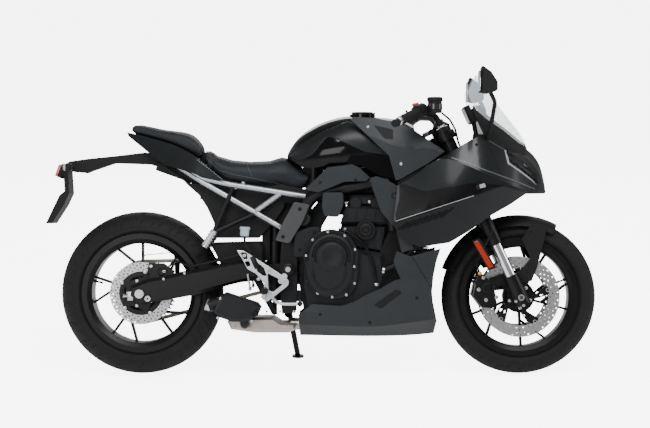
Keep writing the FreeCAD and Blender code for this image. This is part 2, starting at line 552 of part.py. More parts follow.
def bent_edges(points, radius):
    """Straight runs joined by tangent arcs."""
    edges = []
    start = points[0]
    for before, here, after in zip(points, points[1:], points[2:]):
        back = unit(before - here)
        ahead = unit(after - here)
        half = back.getAngle(ahead) / 2
        reach = min(radius / math.tan(half), RUN_SHARE * (before - here).Length, RUN_SHARE * (after - here).Length)
        bend = reach * math.tan(half)
        middle = here + unit(back + ahead) * (bend / math.sin(half) - bend)
        edges.append(Part.LineSegment(start, here + back * reach).toShape())
        edges.append(Part.Arc(here + back * reach, middle, here + ahead * reach).toShape())
        start = here + ahead * reach
    edges.append(Part.LineSegment(start, points[-1]).toShape())
    return edges


RUN_SHARE = 0.45


def tube(points, radius, bend):
    path = Part.Wire(bent_edges(points, bend))
    ring = Part.Wire(Part.makeCircle(radius, points[0], points[1] - points[0]))
    return path.makePipeShell([ring], True, False)


def offset_path(points, gap, normal):
    """The same path moved sideways in the plane that has this normal."""
    moved = []
    for index, here in enumerate(points):
        sides = []
        if index > 0:
            sides.append(normal.cross(unit(here - points[index - 1])))
        if index < len(points) - 1:
            sides.append(normal.cross(unit(points[index + 1] - here)))
        bisector = unit(sides[0] + sides[-1])
        moved.append(here + bisector * (gap / bisector.dot(sides[0])))
    return moved


def band(places, wall, y_from, y_to):
    path = spots(places, y_from)
    return prism(path + offset_path(path, wall, ACROSS)[::-1], y_to - y_from)


def skin_section(station, half, wall, whole):
    side = [FreeCAD.Vector(station[0] * WHEELBASE, y * half, z * HEIGHT) for y, z in station[1:]]
    path = side
    if whole:
        path = [FreeCAD.Vector(point.x, -point.y, point.z) for point in side[:0:-1]] + side
    inner = offset_path(path, -wall, FORWARD)
    return Part.makePolygon(path + inner[::-1] + path[:1])


def skin(stations, half, wall, whole=False):
    """A thin panel that follows creases from station to station."""
    sections = [skin_section(station, half, wall, whole) for station in stations]
    return Part.makeLoft(sections, True, False, False, SKIN_DEGREE)


def seated(start, end, radius, carrier, panel):
    """A mounting peg that fills the space between its carrier and the panel that it holds."""
    pieces = cylinder(start, end, radius).cut(carrier).cut(panel).Solids
    return min(pieces, key=lambda piece: piece.CenterOfMass.distanceToPoint(start))


def side_pegs(places, y_from, y_to, carrier, panel):
    return [seated(spot(place, y_from), spot(place, y_to), PEG_BOSS_RADIUS, carrier, panel) for place in places]


def core(stations, half):
    """The solid that fills the space inside a panel that spans the bike."""
    sections = []
    for station in stations:
        side = [FreeCAD.Vector(station[0] * WHEELBASE, y * half, z * HEIGHT) for y, z in station[1:]]
        path = [FreeCAD.Vector(point.x, -point.y, point.z) for point in side[:0:-1]] + side
        sections.append(Part.makePolygon(path + path[:1]))
    return Part.makeLoft(sections, True, False, False, SKIN_DEGREE)


def arc(first, middle, last):
    return Part.Arc(first, middle, last).toShape()


def line(first, last):
    return Part.LineSegment(first, last).toShape()


def strut(start, end, start_width, start_depth, end_width, end_depth):
    """A straight tapering bar whose depth lies across the bike."""
    side = unit((end - start).cross(ACROSS))
    wires = []
    for place, width, depth in ((start, start_width, start_depth), (end, end_width, end_depth)):
        out = side * (width / 2)
        over = ACROSS * (depth / 2)
        corners = [place + out + over, place + out - over, place - out - over, place - out + over]
        wires.append(Part.makePolygon(corners + corners[:1]))
    return Part.makeLoft(wires, True, True)


def polar(centre, radius, angle, y=0.0):
    turn = math.radians(angle)
    return FreeCAD.Vector(centre.x + radius * math.cos(turn), y, centre.z + radius * math.sin(turn))


# Wheels

def tyre(axle, radius, width, crown, rim_half):
    edge_y = width / 2 * CROWN_EDGE_SHARE
    edge_r = radius - crown + math.sqrt(crown ** 2 - edge_y ** 2)
    wide_r = FLANGE_RADIUS + (edge_r - FLANGE_RADIUS) * SIDEWALL_SHARE
    foot_r = FLANGE_RADIUS + (edge_r - FLANGE_RADIUS) * FOOT_SHARES[1]
    bead_y = rim_half - BORE_CLEARANCE
    foot_y = bead_y + (width / 2 - bead_y) * FOOT_SHARES[0]
    half_places = {"edge": (edge_y, edge_r), "wide": (width / 2, wide_r), "foot": (foot_y, foot_r),
                   "lip": (bead_y, FLANGE_RADIUS + BORE_CLEARANCE), "bead": (bead_y, BEAD_RADIUS)}
    left = {name: axle + FreeCAD.Vector(0, y, r) for name, (y, r) in half_places.items()}
    right = {name: axle + FreeCAD.Vector(0, -y, r) for name, (y, r) in half_places.items()}
    top = axle + UP * radius
    profile = Part.Wire([
        arc(right["edge"], top, left["edge"]),
        arc(left["edge"], left["wide"], left["foot"]),
        line(left["foot"], left["lip"]),
        line(left["lip"], left["bead"]),
        line(left["bead"], right["bead"]),
        line(right["bead"], right["lip"]),
        line(right["lip"], right["foot"]),
        arc(right["foot"], right["wide"], right["edge"])])
    return Part.Face(profile).revolve(axle, ACROSS, FULL_TURN)


SKIN_DEGREE = 2
CROWN_EDGE_SHARE = 0.94
SIDEWALL_SHARE = 0.6
FOOT_SHARES = (0.6, 0.25)


def rim_ring(axle, half):
    lip = half + FLANGE_WALL
    shoulder = BEAD_RADIUS - FLANGE_WALL
    places = [(-lip, FLANGE_RADIUS), (-half, FLANGE_RADIUS), (-half, BEAD_RADIUS), (half, BEAD_RADIUS),
              (half, FLANGE_RADIUS), (lip, FLANGE_RADIUS), (lip, shoulder), (half - FLANGE_WALL, RIM_WINDOW_RADIUS),
              (FLANGE_WALL - half, RIM_WINDOW_RADIUS), (-lip, shoulder)]
    points = [axle + FreeCAD.Vector(0, y, r) for y, r in places]
    face = Part.Face(Part.makePolygon(points + points[:1]))
    return face.revolve(axle, ACROSS, FULL_TURN)


def spokes(axle, first_angle):
    legs = []
    for index in range(SPOKE_PAIRS):
        angle = first_angle + index * FULL_TURN / SPOKE_PAIRS
        inner = polar(axle, HUB_PLATE_RADIUS - FLANGE_WALL, angle)
        apex = polar(axle, SPOKE_APEX_RADIUS, angle)
        reach = RIM_WINDOW_RADIUS + FLANGE_WALL
        legs.append(strut(inner, polar(axle, reach, angle), SPOKE_WIDTH, SPOKE_DEPTH_HUB, SPOKE_WIDTH,
                          SPOKE_DEPTH_RIM))
        legs.append(strut(apex, polar(axle, reach, angle + SPOKE_SPLAY), SPOKE_WIDTH, SPOKE_DEPTH_HUB,
                          SPOKE_WIDTH, SPOKE_DEPTH_RIM))
    return legs


def front_rim():
    pieces = [rim_ring(FRONT_AXLE, FRONT_RIM_HALF)] + spokes(FRONT_AXLE, FRONT_SPOKE_START)
    pieces.append(cross_bar(FRONT_AXLE, -FRONT_HUB_HALF, FRONT_HUB_HALF, FRONT_HUB_RADIUS))
    pieces.append(cross_bar(FRONT_AXLE, -SPOKE_DEPTH_HUB / 2, SPOKE_DEPTH_HUB / 2, HUB_PLATE_RADIUS))
    bore = cross_bar(FRONT_AXLE, -FRONT_HUB_HALF, FRONT_HUB_HALF, AXLE_RADIUS + AXLE_CLEARANCE)
    return fused(pieces).cut(bore)


def rear_rim():
    pieces = [rim_ring(REAR_AXLE, REAR_RIM_HALF)] + spokes(REAR_AXLE, REAR_SPOKE_START)
    pieces.append(cross_bar(REAR_AXLE, -REAR_HUB_RIGHT, REAR_HUB_LEFT, REAR_HUB_RADIUS))
    pieces.append(cross_bar(REAR_AXLE, -SPOKE_DEPTH_HUB / 2, SPOKE_DEPTH_HUB / 2, HUB_PLATE_RADIUS))
    pieces.append(cross_bar(REAR_AXLE, REAR_HUB_LEFT - SPOKE_DEPTH_RIM, CHAIN_Y - SPROCKET_WALL / 2,
                            SPROCKET_CARRIER_RADIUS))
    bore = cross_bar(REAR_AXLE, -REAR_HUB_RIGHT, CHAIN_Y, AXLE_RADIUS + AXLE_CLEARANCE)
    return fused(pieces).cut(bore)


def brake_disc(axle, y, radius, inner, wall, hub_radius, hub_side_y):
    """A ring on a five-armed carrier, whose flat side lies on the hub's end."""
    ring = ring_bar(axle, y - wall / 2, y + wall / 2, radius, inner)
    near, far = sorted((hub_side_y, y))
    centre = cross_bar(axle, near, far, hub_radius)
    arms = []
    for index in range(CARRIER_ARMS):
        angle = index * FULL_TURN / CARRIER_ARMS
        start = polar(axle, hub_radius - CARRIER_WALL, angle, y)
        end = polar(axle, inner + CARRIER_WALL, angle + CARRIER_LEAN, y)
        arms.append(strut(start, end, CARRIER_ARM_WIDTH, wall, CARRIER_ARM_WIDTH * CARRIER_TIP_SHARE, wall))
    bore = cross_bar(axle, near - OVERRUN, far + OVERRUN, AXLE_RADIUS + CARRIER_WALL)
    return fused([ring, centre] + arms).cut(bore)


CARRIER_LEAN = 14.0
CARRIER_TIP_SHARE = 0.7


def front_discs():
    return both(brake_disc(FRONT_AXLE, FRONT_DISC_Y, FRONT_DISC_RADIUS, FRONT_DISC_INNER, FRONT_DISC_WALL,
                           FRONT_HUB_RADIUS + FLANGE_WALL, FRONT_HUB_HALF))


def rear_disc():
    return brake_disc(REAR_AXLE, -REAR_DISC_Y, REAR_DISC_RADIUS, REAR_DISC_INNER, REAR_DISC_WALL,
                      REAR_HUB_RADIUS, -REAR_HUB_RIGHT)


def pitch_radius(teeth):
    return CHAIN_PITCH / 2 / math.sin(math.pi / teeth)


def sprocket(centre, teeth, hole_radius):
    middle = pitch_radius(teeth)
    root = middle - CHAIN_ROLLER_RADIUS - TOOTH_ROOT_GAP
    tip = middle + TOOTH_HEIGHT
    points = []
    for index in range(teeth):
        for share, radius in TOOTH_SHARES:
            angle = (index + share) * FULL_TURN / teeth
            points.append(polar(centre, root + (tip - root) * radius, angle, CHAIN_Y - SPROCKET_WALL / 2))
    wheel = prism(points, SPROCKET_WALL)
    return wheel.cut(cross_bar(centre, CHAIN_Y - OVERRUN, CHAIN_Y + OVERRUN, hole_radius))


TOOTH_SHARES = ((0.0, 0.0), (0.22, 0.12), (0.42, 1.0), (0.58, 1.0), (0.78, 0.12))


def front_sprocket():
    return sprocket(spot(FRONT_SPROCKET_SHARE), FRONT_TEETH, AXLE_RADIUS)


def rear_sprocket():
    return sprocket(REAR_AXLE, REAR_TEETH, REAR_HUB_RADIUS)


def chain():
    """One loop of side plates round both sprockets, with rollers on the two straight runs."""
    front = spot(FRONT_SPROCKET_SHARE)
    front_r = pitch_radius(FRONT_TEETH)
    rear_r = pitch_radius(REAR_TEETH)
    span = front - REAR_AXLE
    lean = math.degrees(math.atan2(span.z, span.x))
    spread = math.degrees(math.acos((rear_r - front_r) / span.Length))
    plates = []
    for side in (-1, 1):
        inner_y = CHAIN_Y + side * CHAIN_INNER_GAP / 2
        outer_y = inner_y + side * 2 * CHAIN_PLATE
        low, high = sorted((inner_y, outer_y))
        outer = chain_loop(front, front_r, rear_r, lean, spread, CHAIN_PLATE_HEIGHT / 2, low, high)
        inner = chain_loop(front, front_r, rear_r, lean, spread, -CHAIN_PLATE_HEIGHT / 2, low, high)
        plates.append(outer.cut(inner))
    rollers = []
    for side in (-1, 1):
        rear_end = polar(REAR_AXLE, rear_r, lean + side * spread)
        front_end = polar(front, front_r, lean + side * spread)
        along = unit(front_end - rear_end)
        first = free_run(rear_r)
        last = (front_end - rear_end).Length - free_run(front_r)
        count = int((last - first) / CHAIN_PITCH)
        for index in range(count + 1):
            place = rear_end + along * (first + index * CHAIN_PITCH)
            rollers.append(cross_bar(place, CHAIN_Y - CHAIN_INNER_GAP / 2, CHAIN_Y + CHAIN_INNER_GAP / 2,
                                     CHAIN_ROLLER_RADIUS))
    return fused(plates + rollers)


def free_run(radius):
    """How far from its tangent point a roller clears the turning teeth."""
    tip = radius + TOOTH_HEIGHT + TOOTH_ROOT_GAP
    return math.sqrt(tip ** 2 - (radius - CHAIN_ROLLER_RADIUS) ** 2)


def chain_loop(front, front_r, rear_r, lean, spread, grow, low, high):
    front_low = polar(front, front_r + grow, lean - spread, low)
    front_mid = polar(front, front_r + grow, lean, low)
    front_high = polar(front, front_r + grow, lean + spread, low)
    rear_low = polar(REAR_AXLE, rear_r + grow, lean - spread, low)
    rear_mid = polar(REAR_AXLE, rear_r + grow, lean + FULL_TURN / 2, low)
    rear_high = polar(REAR_AXLE, rear_r + grow, lean + spread, low)
    loop = Part.Wire([arc(front_low, front_mid, front_high), line(front_high, rear_high),
                      arc(rear_high, rear_mid, rear_low), line(rear_low, front_low)])
    return Part.Face(loop).extrude(ACROSS * (high - low))


# Frame and subframe

def rake_direction():
    lean = math.radians(RAKE)
    return FreeCAD.Vector(-math.sin(lean), 0, math.cos(lean))


def on_fork(height, y=0.0, offset=0.0):
    """A place measured from the front axle along the fork and square to it."""
    lean = math.radians(RAKE)
    along = rake_direction() * height
    forward = FreeCAD.Vector(math.cos(lean), 0, math.sin(lean)) * offset
    return FRONT_AXLE + along + forward + ACROSS * y


def head_tube():
    low = on_fork(LOWER_CLAMP_TOP + HEAD_TUBE_GAP, 0, -FORK_OFFSET)
    high = on_fork(UPPER_CLAMP_TOP - CLAMP_HEIGHT - HEAD_TUBE_GAP, 0, -FORK_OFFSET)
    return cylinder(low, high, HEAD_TUBE_RADIUS), cylinder(low, high, STEM_RADIUS + HEAD_TUBE_GAP)


def frame(tank, cooler):
    outer, bore = head_tube()
    spar = tube(route(SPAR_ROUTE_SHARES, SPAR_ROUTE_Y), SPAR_RADIUS, SPAR_BEND)
    leg = tube(route(LEG_ROUTE_SHARES, LEG_ROUTE_Y), LEG_RADIUS, SPAR_BEND)
    plate = slab(PIVOT_PLATE_SHARES, PIVOT_PLATE_Y, PIVOT_PLATE_Y + PIVOT_PLATE_WALL)
    bolt_hole = cross_bar(spot(PIVOT_SHARE), 0, FOOTREST_Y, PIVOT_BOLT_RADIUS + BORE_CLEARANCE)
    crosses = [cross_bar(spot(place), -PIVOT_PLATE_Y, PIVOT_PLATE_Y, PIVOT_CROSS_RADIUS)
               for place in PIVOT_CROSS_SHARES]
    posts = [cylinder(spot(low, y), spot(high, y), TANK_POST_RADIUS)
             for low, high, y in zip(TANK_POST_SHARES, TANK_POST_TOP_SHARES, TANK_POST_Y)]
    bracket = cylinder(spot(RADIATOR_BRACKET_SHARES[0], RADIATOR_BRACKET_Y),
                       spot(RADIATOR_BRACKET_SHARES[1], RADIATOR_BRACKET_Y), RADIATOR_BRACKET_RADIUS)
    boss = cross_bar(spot(LEG_BOSS_SHARE), HEAD_HALF + BORE_CLEARANCE, LEG_ROUTE_Y[1], LEG_BOSS_RADIUS)
    left = [spar, leg, plate, bracket, boss] + posts
    crosses.append(slab(SHOCK_BRACKET_SHARES, -SHOCK_BRACKET_HALF, SHOCK_BRACKET_HALF))
    pieces = [outer] + left + [mirrored(piece) for piece in left] + crosses + stand_lug()
    return fused(pieces).cut(bore).cut(bolt_hole).cut(mirrored(bolt_hole)).cut(tank).cut(cooler)


def subframe(carrier, seat):
    upper = tube(route(UPPER_RAIL_SHARES, UPPER_RAIL_Y), SUBFRAME_RADIUS, SUBFRAME_BEND)
    lower = tube(route(LOWER_RAIL_SHARES, LOWER_RAIL_Y), SUBFRAME_RADIUS, SUBFRAME_BEND)
    brace = cylinder(spot(BRACE_SHARES[0], BRACE_Y), spot(BRACE_SHARES[1], BRACE_Y), SUBFRAME_RADIUS)
    crosses = [cross_bar(spot(CROSS_TUBE_SHARE), -BRACE_Y, BRACE_Y, SUBFRAME_RADIUS),
               cross_bar(spot(TAIL_TUBE_SHARE), -UPPER_RAIL_Y[-1], UPPER_RAIL_Y[-1], SUBFRAME_RADIUS)]
    post = cylinder(spot(SEAT_POST_SHARES[0], SEAT_POST_Y), spot(SEAT_POST_SHARES[1], SEAT_POST_Y), SEAT_POST_RADIUS)
    left = [upper, lower, brace, post]
    return fused(left + [mirrored(piece) for piece in left] + crosses).cut(carrier).cut(seat)


# Engine, cooling and exhaust

def chain_pocket():
    low = spot(SPROCKET_COVER_SHARES[0], CHAIN_POCKET_Y)
    centre = spot(FRONT_SPROCKET_SHARE, CHAIN_POCKET_Y)
    radius = pitch_radius(FRONT_TEETH) + CHAIN_PLATE_HEIGHT + RUN_GAP
    pocket = Part.makeCylinder(radius, CRANKCASE_HALF, centre, ACROSS)
    behind = Part.makeBox(centre.x - low.x + radius, CRANKCASE_HALF, 2 * radius,
                          FreeCAD.Vector(low.x - radius, CHAIN_POCKET_Y, centre.z - radius))
    return pocket.fuse(behind)


def crankcase():
    case = bevelled_slab(CRANKCASE_SHARES, -CRANKCASE_HALF, CRANKCASE_HALF, CRANKCASE_BEVEL).cut(chain_pocket())
    boss_y = PIVOT_PLATE_Y - BORE_CLEARANCE
    bosses = [cross_bar(spot(place), -boss_y, boss_y, ENGINE_BOSS_RADIUS) for place in ENGINE_BOSS_SHARES]
    shaft = cross_bar(spot(FRONT_SPROCKET_SHARE), CHAIN_POCKET_Y - CARRIER_WALL, CHAIN_Y + CHAIN_INNER_GAP,
                      AXLE_RADIUS - BORE_CLEARANCE)
    return fused([case, shaft] + bosses)


def cylinder_head():
    return [bevelled_slab(CYLINDER_SHARES, -CYLINDER_HALF, CYLINDER_HALF, HEAD_BEVEL),
            bevelled_slab(HEAD_SHARES, -HEAD_HALF, HEAD_HALF, HEAD_BEVEL),
            bevelled_slab(HEAD_COVER_SHARES, -HEAD_COVER_HALF, HEAD_COVER_HALF, HEAD_BEVEL)]


def round_cover(centre, y, radius, depth, side):
    """A cast cover with a bevelled face, standing out from this y to the left or the right."""
    cover = Part.makeCylinder(radius, depth, centre + ACROSS * y, ACROSS * side)
    face_y = y + side * depth
    rims = [edge for edge in cover.Edges if abs(edge.CenterOfMass.y - face_y) < COVER_EDGE and edge.Closed]
    return cover.makeChamfer(COVER_EDGE, rims)


def engine_covers():
    clutch_centre = spot(CLUTCH_CENTRE_SHARE)
    clutch = round_cover(clutch_centre, -CRANKCASE_HALF, CLUTCH_RADIUS, CLUTCH_DEPTH, -1)
    cap = round_cover(clutch_centre, -CRANKCASE_HALF - CLUTCH_DEPTH, CLUTCH_CAP_RADIUS, CLUTCH_CAP_DEPTH, -1)
    generator = round_cover(spot(GENERATOR_CENTRE_SHARE), CRANKCASE_HALF, GENERATOR_RADIUS, GENERATOR_DEPTH, 1)
    sprocket_side = bevelled_slab(SPROCKET_COVER_SHARES, CRANKCASE_HALF + BORE_CLEARANCE,
                                  CRANKCASE_HALF + BORE_CLEARANCE + SPROCKET_COVER_WALL, SMALL_BEVEL)
    return [clutch.fuse(cap), generator, sprocket_side.cut(generator)]


def airbox(carrier):
    """The air filter's box with the throttle bodies and the breather below it."""
    box = bevelled_slab(AIRBOX_SHARES, -AIRBOX_HALF, AIRBOX_HALF, AIRBOX_BEVEL)
    throttles = bevelled_slab(THROTTLE_SHARES, -THROTTLE_HALF, THROTTLE_HALF, BREATHER_BEVEL)
    breather = bevelled_slab(BREATHER_SHARES, -BREATHER_HALF, BREATHER_HALF, BREATHER_BEVEL)
    return fused([box, throttles, breather]).cut(carrier)


def radiator(carrier):
    """The cooler, and a duct plate each side that leads its air past the engine's front."""
    centre = spot(RADIATOR_CENTRE_SHARE)
    core = Part.makeBox(RADIATOR_WALL, 2 * RADIATOR_HALF, RADIATOR_HEIGHT,
                        FreeCAD.Vector(-RADIATOR_WALL / 2, -RADIATOR_HALF, -RADIATOR_HEIGHT / 2))
    tank = Part.makeBox(RADIATOR_WALL + PANEL_WALL, RADIATOR_TANK, RADIATOR_HEIGHT,
                        FreeCAD.Vector(-RADIATOR_WALL / 2, -RADIATOR_HALF - RADIATOR_TANK, -RADIATOR_HEIGHT / 2))
    block = fused([core] + both(tank))
    block.rotate(ORIGIN, ACROSS, RADIATOR_TILT)
    block.translate(centre)
    duct = slab(DUCT_SHARES, DUCT_Y, DUCT_Y + PANEL_WALL).cut(carrier)
    return [block] + both(max(duct.Solids, key=lambda piece: piece.Volume))


def exhaust_headers(carrier):
    left = tube(spots(HEADER_SHARES, HEADER_Y), HEADER_RADIUS, HEADER_BEND).cut(carrier)
    box = bevelled_slab(EXHAUST_BOX_SHARES, -EXHAUST_BOX_HALF, EXHAUST_BOX_HALF, EXHAUST_BOX_BEVEL)
    return fused(both(left) + [box])


def silencer():
    can = bevelled_slab(SILENCER_SHARES, -SILENCER_OUTER_Y, -SILENCER_INNER_Y, SILENCER_BEVEL)
    middle = -(SILENCER_OUTER_Y + SILENCER_INNER_Y) / 2
    link = tube(route(SILENCER_LINK_SHARES, (-EXHAUST_BOX_HALF, middle, middle)), SILENCER_LINK_RADIUS,
                SILENCER_LINK_BEND)
    tip_start, tip_end = spots(SILENCER_TIP_SHARES, middle)
    tip = cylinder(tip_start, tip_end, SILENCER_TIP_RADIUS)
    bore = cylinder(tip_start, tip_end, SILENCER_TIP_RADIUS - SILENCER_TIP_WALL)
    return fused([can, link, tip.cut(bore)])


# Tank, seats and covers

def tank_section(station):
    x, top, shoulder_y, shoulder, waist_y, waist, base_y, base = station
    left = [spot((x, z), y * TANK_HALF) for y, z in ((shoulder_y, shoulder), (waist_y, waist), (base_y, base))]
    right = [FreeCAD.Vector(point.x, -point.y, point.z) for point in left]
    return Part.Wire([arc(right[0], spot((x, top)), left[0]), arc(left[0], left[1], left[2]),
                      line(left[2], right[2]), arc(right[2], right[1], right[0])])


def fuel_tank():
    body = Part.makeLoft([tank_section(station) for station in TANK_STATION_SHARES], True, False)
    centre = spot(CAP_CENTRE_SHARE)
    ring = Part.makeCylinder(CAP_RING_RADIUS, CAP_RING_HEIGHT + OVERRUN, centre - UP * OVERRUN, UP)
    hinge = cap_hinge()
    ear_from = CAP_KNUCKLE_HALF + BORE_CLEARANCE
    ear = cross_bar(hinge, ear_from, ear_from + CAP_EAR_WALL, CAP_HINGE_RADIUS)
    pin = cross_bar(hinge, -ear_from, ear_from, CAP_PIN_RADIUS)
    flank = slab(TANK_FLANK_SHARES, TANK_FLANK_Y, TANK_FLANK_Y + PANEL_WALL)
    return fused([body, ring, pin] + both(ear) + both(flank))


def cap_hinge():
    up = CAP_RING_HEIGHT + CAP_HINGE_RADIUS - BORE_CLEARANCE
    return spot(CAP_CENTRE_SHARE) + UP * up + FORWARD * (CAP_RADIUS + CAP_HINGE_RADIUS)


def fuel_cap():
    """A round lid whose knuckle turns on the pin between the tank's two ears."""
    seat = spot(CAP_CENTRE_SHARE) + UP * (CAP_RING_HEIGHT + BORE_CLEARANCE)
    lid = Part.makeCylinder(CAP_RADIUS, CAP_HEIGHT, seat, UP)
    hinge = cap_hinge() + UP * BORE_CLEARANCE
    knuckle = cross_bar(hinge, -CAP_KNUCKLE_HALF, CAP_KNUCKLE_HALF, CAP_HINGE_RADIUS - BORE_CLEARANCE)
    link = Part.makeBox(CAP_RADIUS, 2 * CAP_KNUCKLE_HALF, CAP_HINGE_RADIUS,
                        FreeCAD.Vector(hinge.x - CAP_RADIUS, -CAP_KNUCKLE_HALF, hinge.z - CAP_HINGE_RADIUS / 2))
    bore = cross_bar(cap_hinge(), -CAP_KNUCKLE_HALF, CAP_KNUCKLE_HALF, CAP_PIN_RADIUS + BORE_CLEARANCE)
    return fused([lid, knuckle, link]).cut(bore)


def trimmed_panel(stations, half, outline):
    panel = skin(stations, half, PANEL_WALL)
    return panel.common(slab(outline, 0, half + OVERRUN))


def tank_shrouds(tank):
    panel = trimmed_panel(SHROUD_STATION_SHARES, SHROUD_HALF, SHROUD_OUTLINE_SHARES)
    pegs = side_pegs(SHROUD_PEG_SHARES, TANK_HALF / 2, SHROUD_HALF, tank, panel)
    return both(fused([panel] + pegs))


def side_covers(carrier):
    panel = bevelled_slab(SIDE_COVER_SHARES, SIDE_COVER_Y, SIDE_COVER_Y + SIDE_COVER_WALL, SMALL_BEVEL)
    pegs = side_pegs(SIDE_COVER_PEG_SHARES, SPAR_ROUTE_Y[1], SIDE_COVER_Y, carrier, panel)
    inner = slab(INNER_PANEL_SHARES, INNER_PANEL_Y, INNER_PANEL_Y + PANEL_WALL).cut(carrier)
    return both(fused([panel] + pegs)) + both(inner)


def cushion(stations, half):
    """A padded block with a crowned top, from its top edge, its widest line and its base."""
    wires = []
    for x, top, crown_y, wide_y, base in stations:
        crown_z = top + (base - top) * CUSHION_CROWN_SHARE
        left = [spot((x, crown_z), crown_y * half), spot((x, (crown_z + base) / 2), wide_y * half),
                spot((x, base), crown_y * half)]
        right = [FreeCAD.Vector(point.x, -point.y, point.z) for point in left]
        wires.append(Part.Wire([arc(right[0], spot((x, top)), left[0]), arc(left[0], left[1], left[2]),
                                line(left[2], right[2]), arc(right[2], right[1], right[0])]))
    return Part.makeLoft(wires, True, False)


CUSHION_CROWN_SHARE = 0.18


def rider_seat():
    return cushion(SEAT_STATION_SHARES, SEAT_HALF)


def pillion_seat(cowl):
    return cushion(PILLION_STATION_SHARES, PILLION_HALF).cut(core(TAIL_STATION_SHARES, TAIL_HALF)).cut(cowl)


# Fairing

def fairing_side():
    return trimmed_panel(FAIRING_STATION_SHARES, FAIRING_HALF, FAIRING_OUTLINE_SHARES)


def nose_shell(wall):
    return skin(FAIRING_STATION_SHARES, FAIRING_HALF, wall, True)


def nose_cowl():
    nose = nose_shell(PANEL_WALL).common(slab(NOSE_OUTLINE_SHARES, -FAIRING_HALF, FAIRING_HALF))
    for side in (1, -1):
        inner, outer = sorted((0, side * FAIRING_HALF))
        nose = nose.cut(slab(LAMP_OUTLINE_SHARES, inner + side * BORE_CLEARANCE, outer))
    return nose


def headlights():
    shell = nose_shell(PANEL_WALL)
    lamp = shell.common(slab(LAMP_OUTLINE_SHARES, PANEL_WALL, FAIRING_HALF))
    lamp = lamp.translated(-ACROSS * PANEL_WALL)
    return both(lamp)


def screen_section(station, inset):
    """One level of the curved screen, or of what lies this far inside it."""
    z, front, rear, half_share = station
    half = half_share * SCREEN_HALF
    edges = []
    for depth in (inset, inset + SCREEN_WALL):
        edges.append([spot((rear, z), depth - half), spot((front, z), 0) - FORWARD * depth,
                      spot((rear, z), half - depth)])
    outer, inner = edges
    return Part.Wire([arc(*outer), line(outer[2], inner[2]), arc(inner[2], inner[1], inner[0]),
                      line(inner[0], outer[0])])


def curved_pane(inset, outline):
    pane = Part.makeLoft([screen_section(station, inset) for station in SCREEN_STATION_SHARES], True, False)
    return pane.common(slab(outline, -SCREEN_HALF, SCREEN_HALF)).cut(core(FAIRING_STATION_SHARES, FAIRING_HALF))


def windscreen():
    return curved_pane(0.0, SCREEN_OUTLINE_SHARES)


def screen_base(panel):
    return curved_pane(SCREEN_WALL + BORE_CLEARANCE, COLLAR_OUTLINE_SHARES).cut(panel)


def dash():
    return bevelled_slab(DASH_SHARES, -DASH_HALF, DASH_HALF, DASH_BEVEL)


def fairing_stay(nose, panel):
    """Two arms from the head tube, with posts up to the nose and masts up to the dash."""
    arm = tube(route(STAY_SHARES, STAY_Y), STAY_RADIUS, MIRROR_STEM_BEND)
    post = cylinder(spot(STAY_SHARES[-1], STAY_Y[-1]), spot(STAY_POST_TOP_SHARE, STAY_Y[-1]), STAY_RADIUS).cut(nose)
    low = min(post.Solids, key=lambda piece: piece.CenterOfMass.z)
    mast = cylinder(spot(DASH_MAST_SHARES[0], DASH_MAST_Y), spot(DASH_MAST_SHARES[1], DASH_MAST_Y), PEG_BOSS_RADIUS)
    support = min(mast.cut(panel).Solids, key=lambda piece: piece.CenterOfMass.z)
    left = [arm, low, support]
    return fused(left + [mirrored(piece) for piece in left])


def mirror():
    head = bevelled_slab(MIRROR_OUTLINE_SHARES, MIRROR_Y - MIRROR_HALF, MIRROR_Y + MIRROR_HALF, MIRROR_BEVEL)
    stem = tube(route(MIRROR_STEM_SHARES, MIRROR_STEM_Y), MIRROR_STEM_RADIUS, MIRROR_STEM_BEND)
    return fused([head, stem]).cut(core(FAIRING_STATION_SHARES, FAIRING_HALF))


def belly_cowl(carrier):
    panel = trimmed_panel(BELLY_STATION_SHARES, BELLY_HALF, BELLY_OUTLINE_SHARES)
    pegs = side_pegs(BELLY_PEG_SHARES, CYLINDER_HALF, BELLY_HALF, carrier, panel)
    return both(fused([panel] + pegs))


# Tail

def tail_cowl(carrier):
    shell = skin(TAIL_STATION_SHARES, TAIL_HALF, PANEL_WALL, True)
    cowl = shell.common(slab(TAIL_OUTLINE_SHARES, -TAIL_HALF - OVERRUN, TAIL_HALF + OVERRUN))
    pegs = side_pegs([TAIL_PEG_SHARE], TAIL_PEG_Y, TAIL_HALF, carrier, cowl)
    return fused([cowl] + both(pegs[0]))


def undertail(carrier):
    guard = band(UNDERTAIL_PATH_SHARES, UNDERTAIL_WALL, -UNDERTAIL_HALF, UNDERTAIL_HALF)
    tray = band(TRAY_PATH_SHARES, UNDERTAIL_WALL, -UNDERTAIL_HALF, UNDERTAIL_HALF)
    hook = cross_bar(spot(TRAY_PEG_SHARE), -LOWER_RAIL_Y[1], LOWER_RAIL_Y[1], PEG_BOSS_RADIUS)
    side = slab(UNDERTAIL_SIDE_SHARES, UNDERTAIL_HALF - PANEL_WALL, UNDERTAIL_HALF)
    return fused([guard, tray, hook] + both(side)).cut(carrier)


def rear_fender(carrier, arm_below):
    """The plate hanger behind, and the hugger on the swingarm that covers the tyre's front."""
    arm = bevelled_slab(HANGER_SHARES, -HANGER_HALF, HANGER_HALF, SMALL_BEVEL)
    holder = slab(PLATE_HOLDER_SHARES, -PLATE_HOLDER_HALF, PLATE_HOLDER_HALF)
    tyre_room = cross_bar(REAR_AXLE, -HUGGER_HALF, HUGGER_HALF, REAR_RADIUS + HUGGER_GAP)
    hugger = bevelled_slab(HUGGER_SHARES, -HUGGER_HALF, HUGGER_HALF, HUGGER_BEVEL).cut(tyre_room).cut(arm_below)
    return [fused([arm, holder]).cut(carrier), hugger]


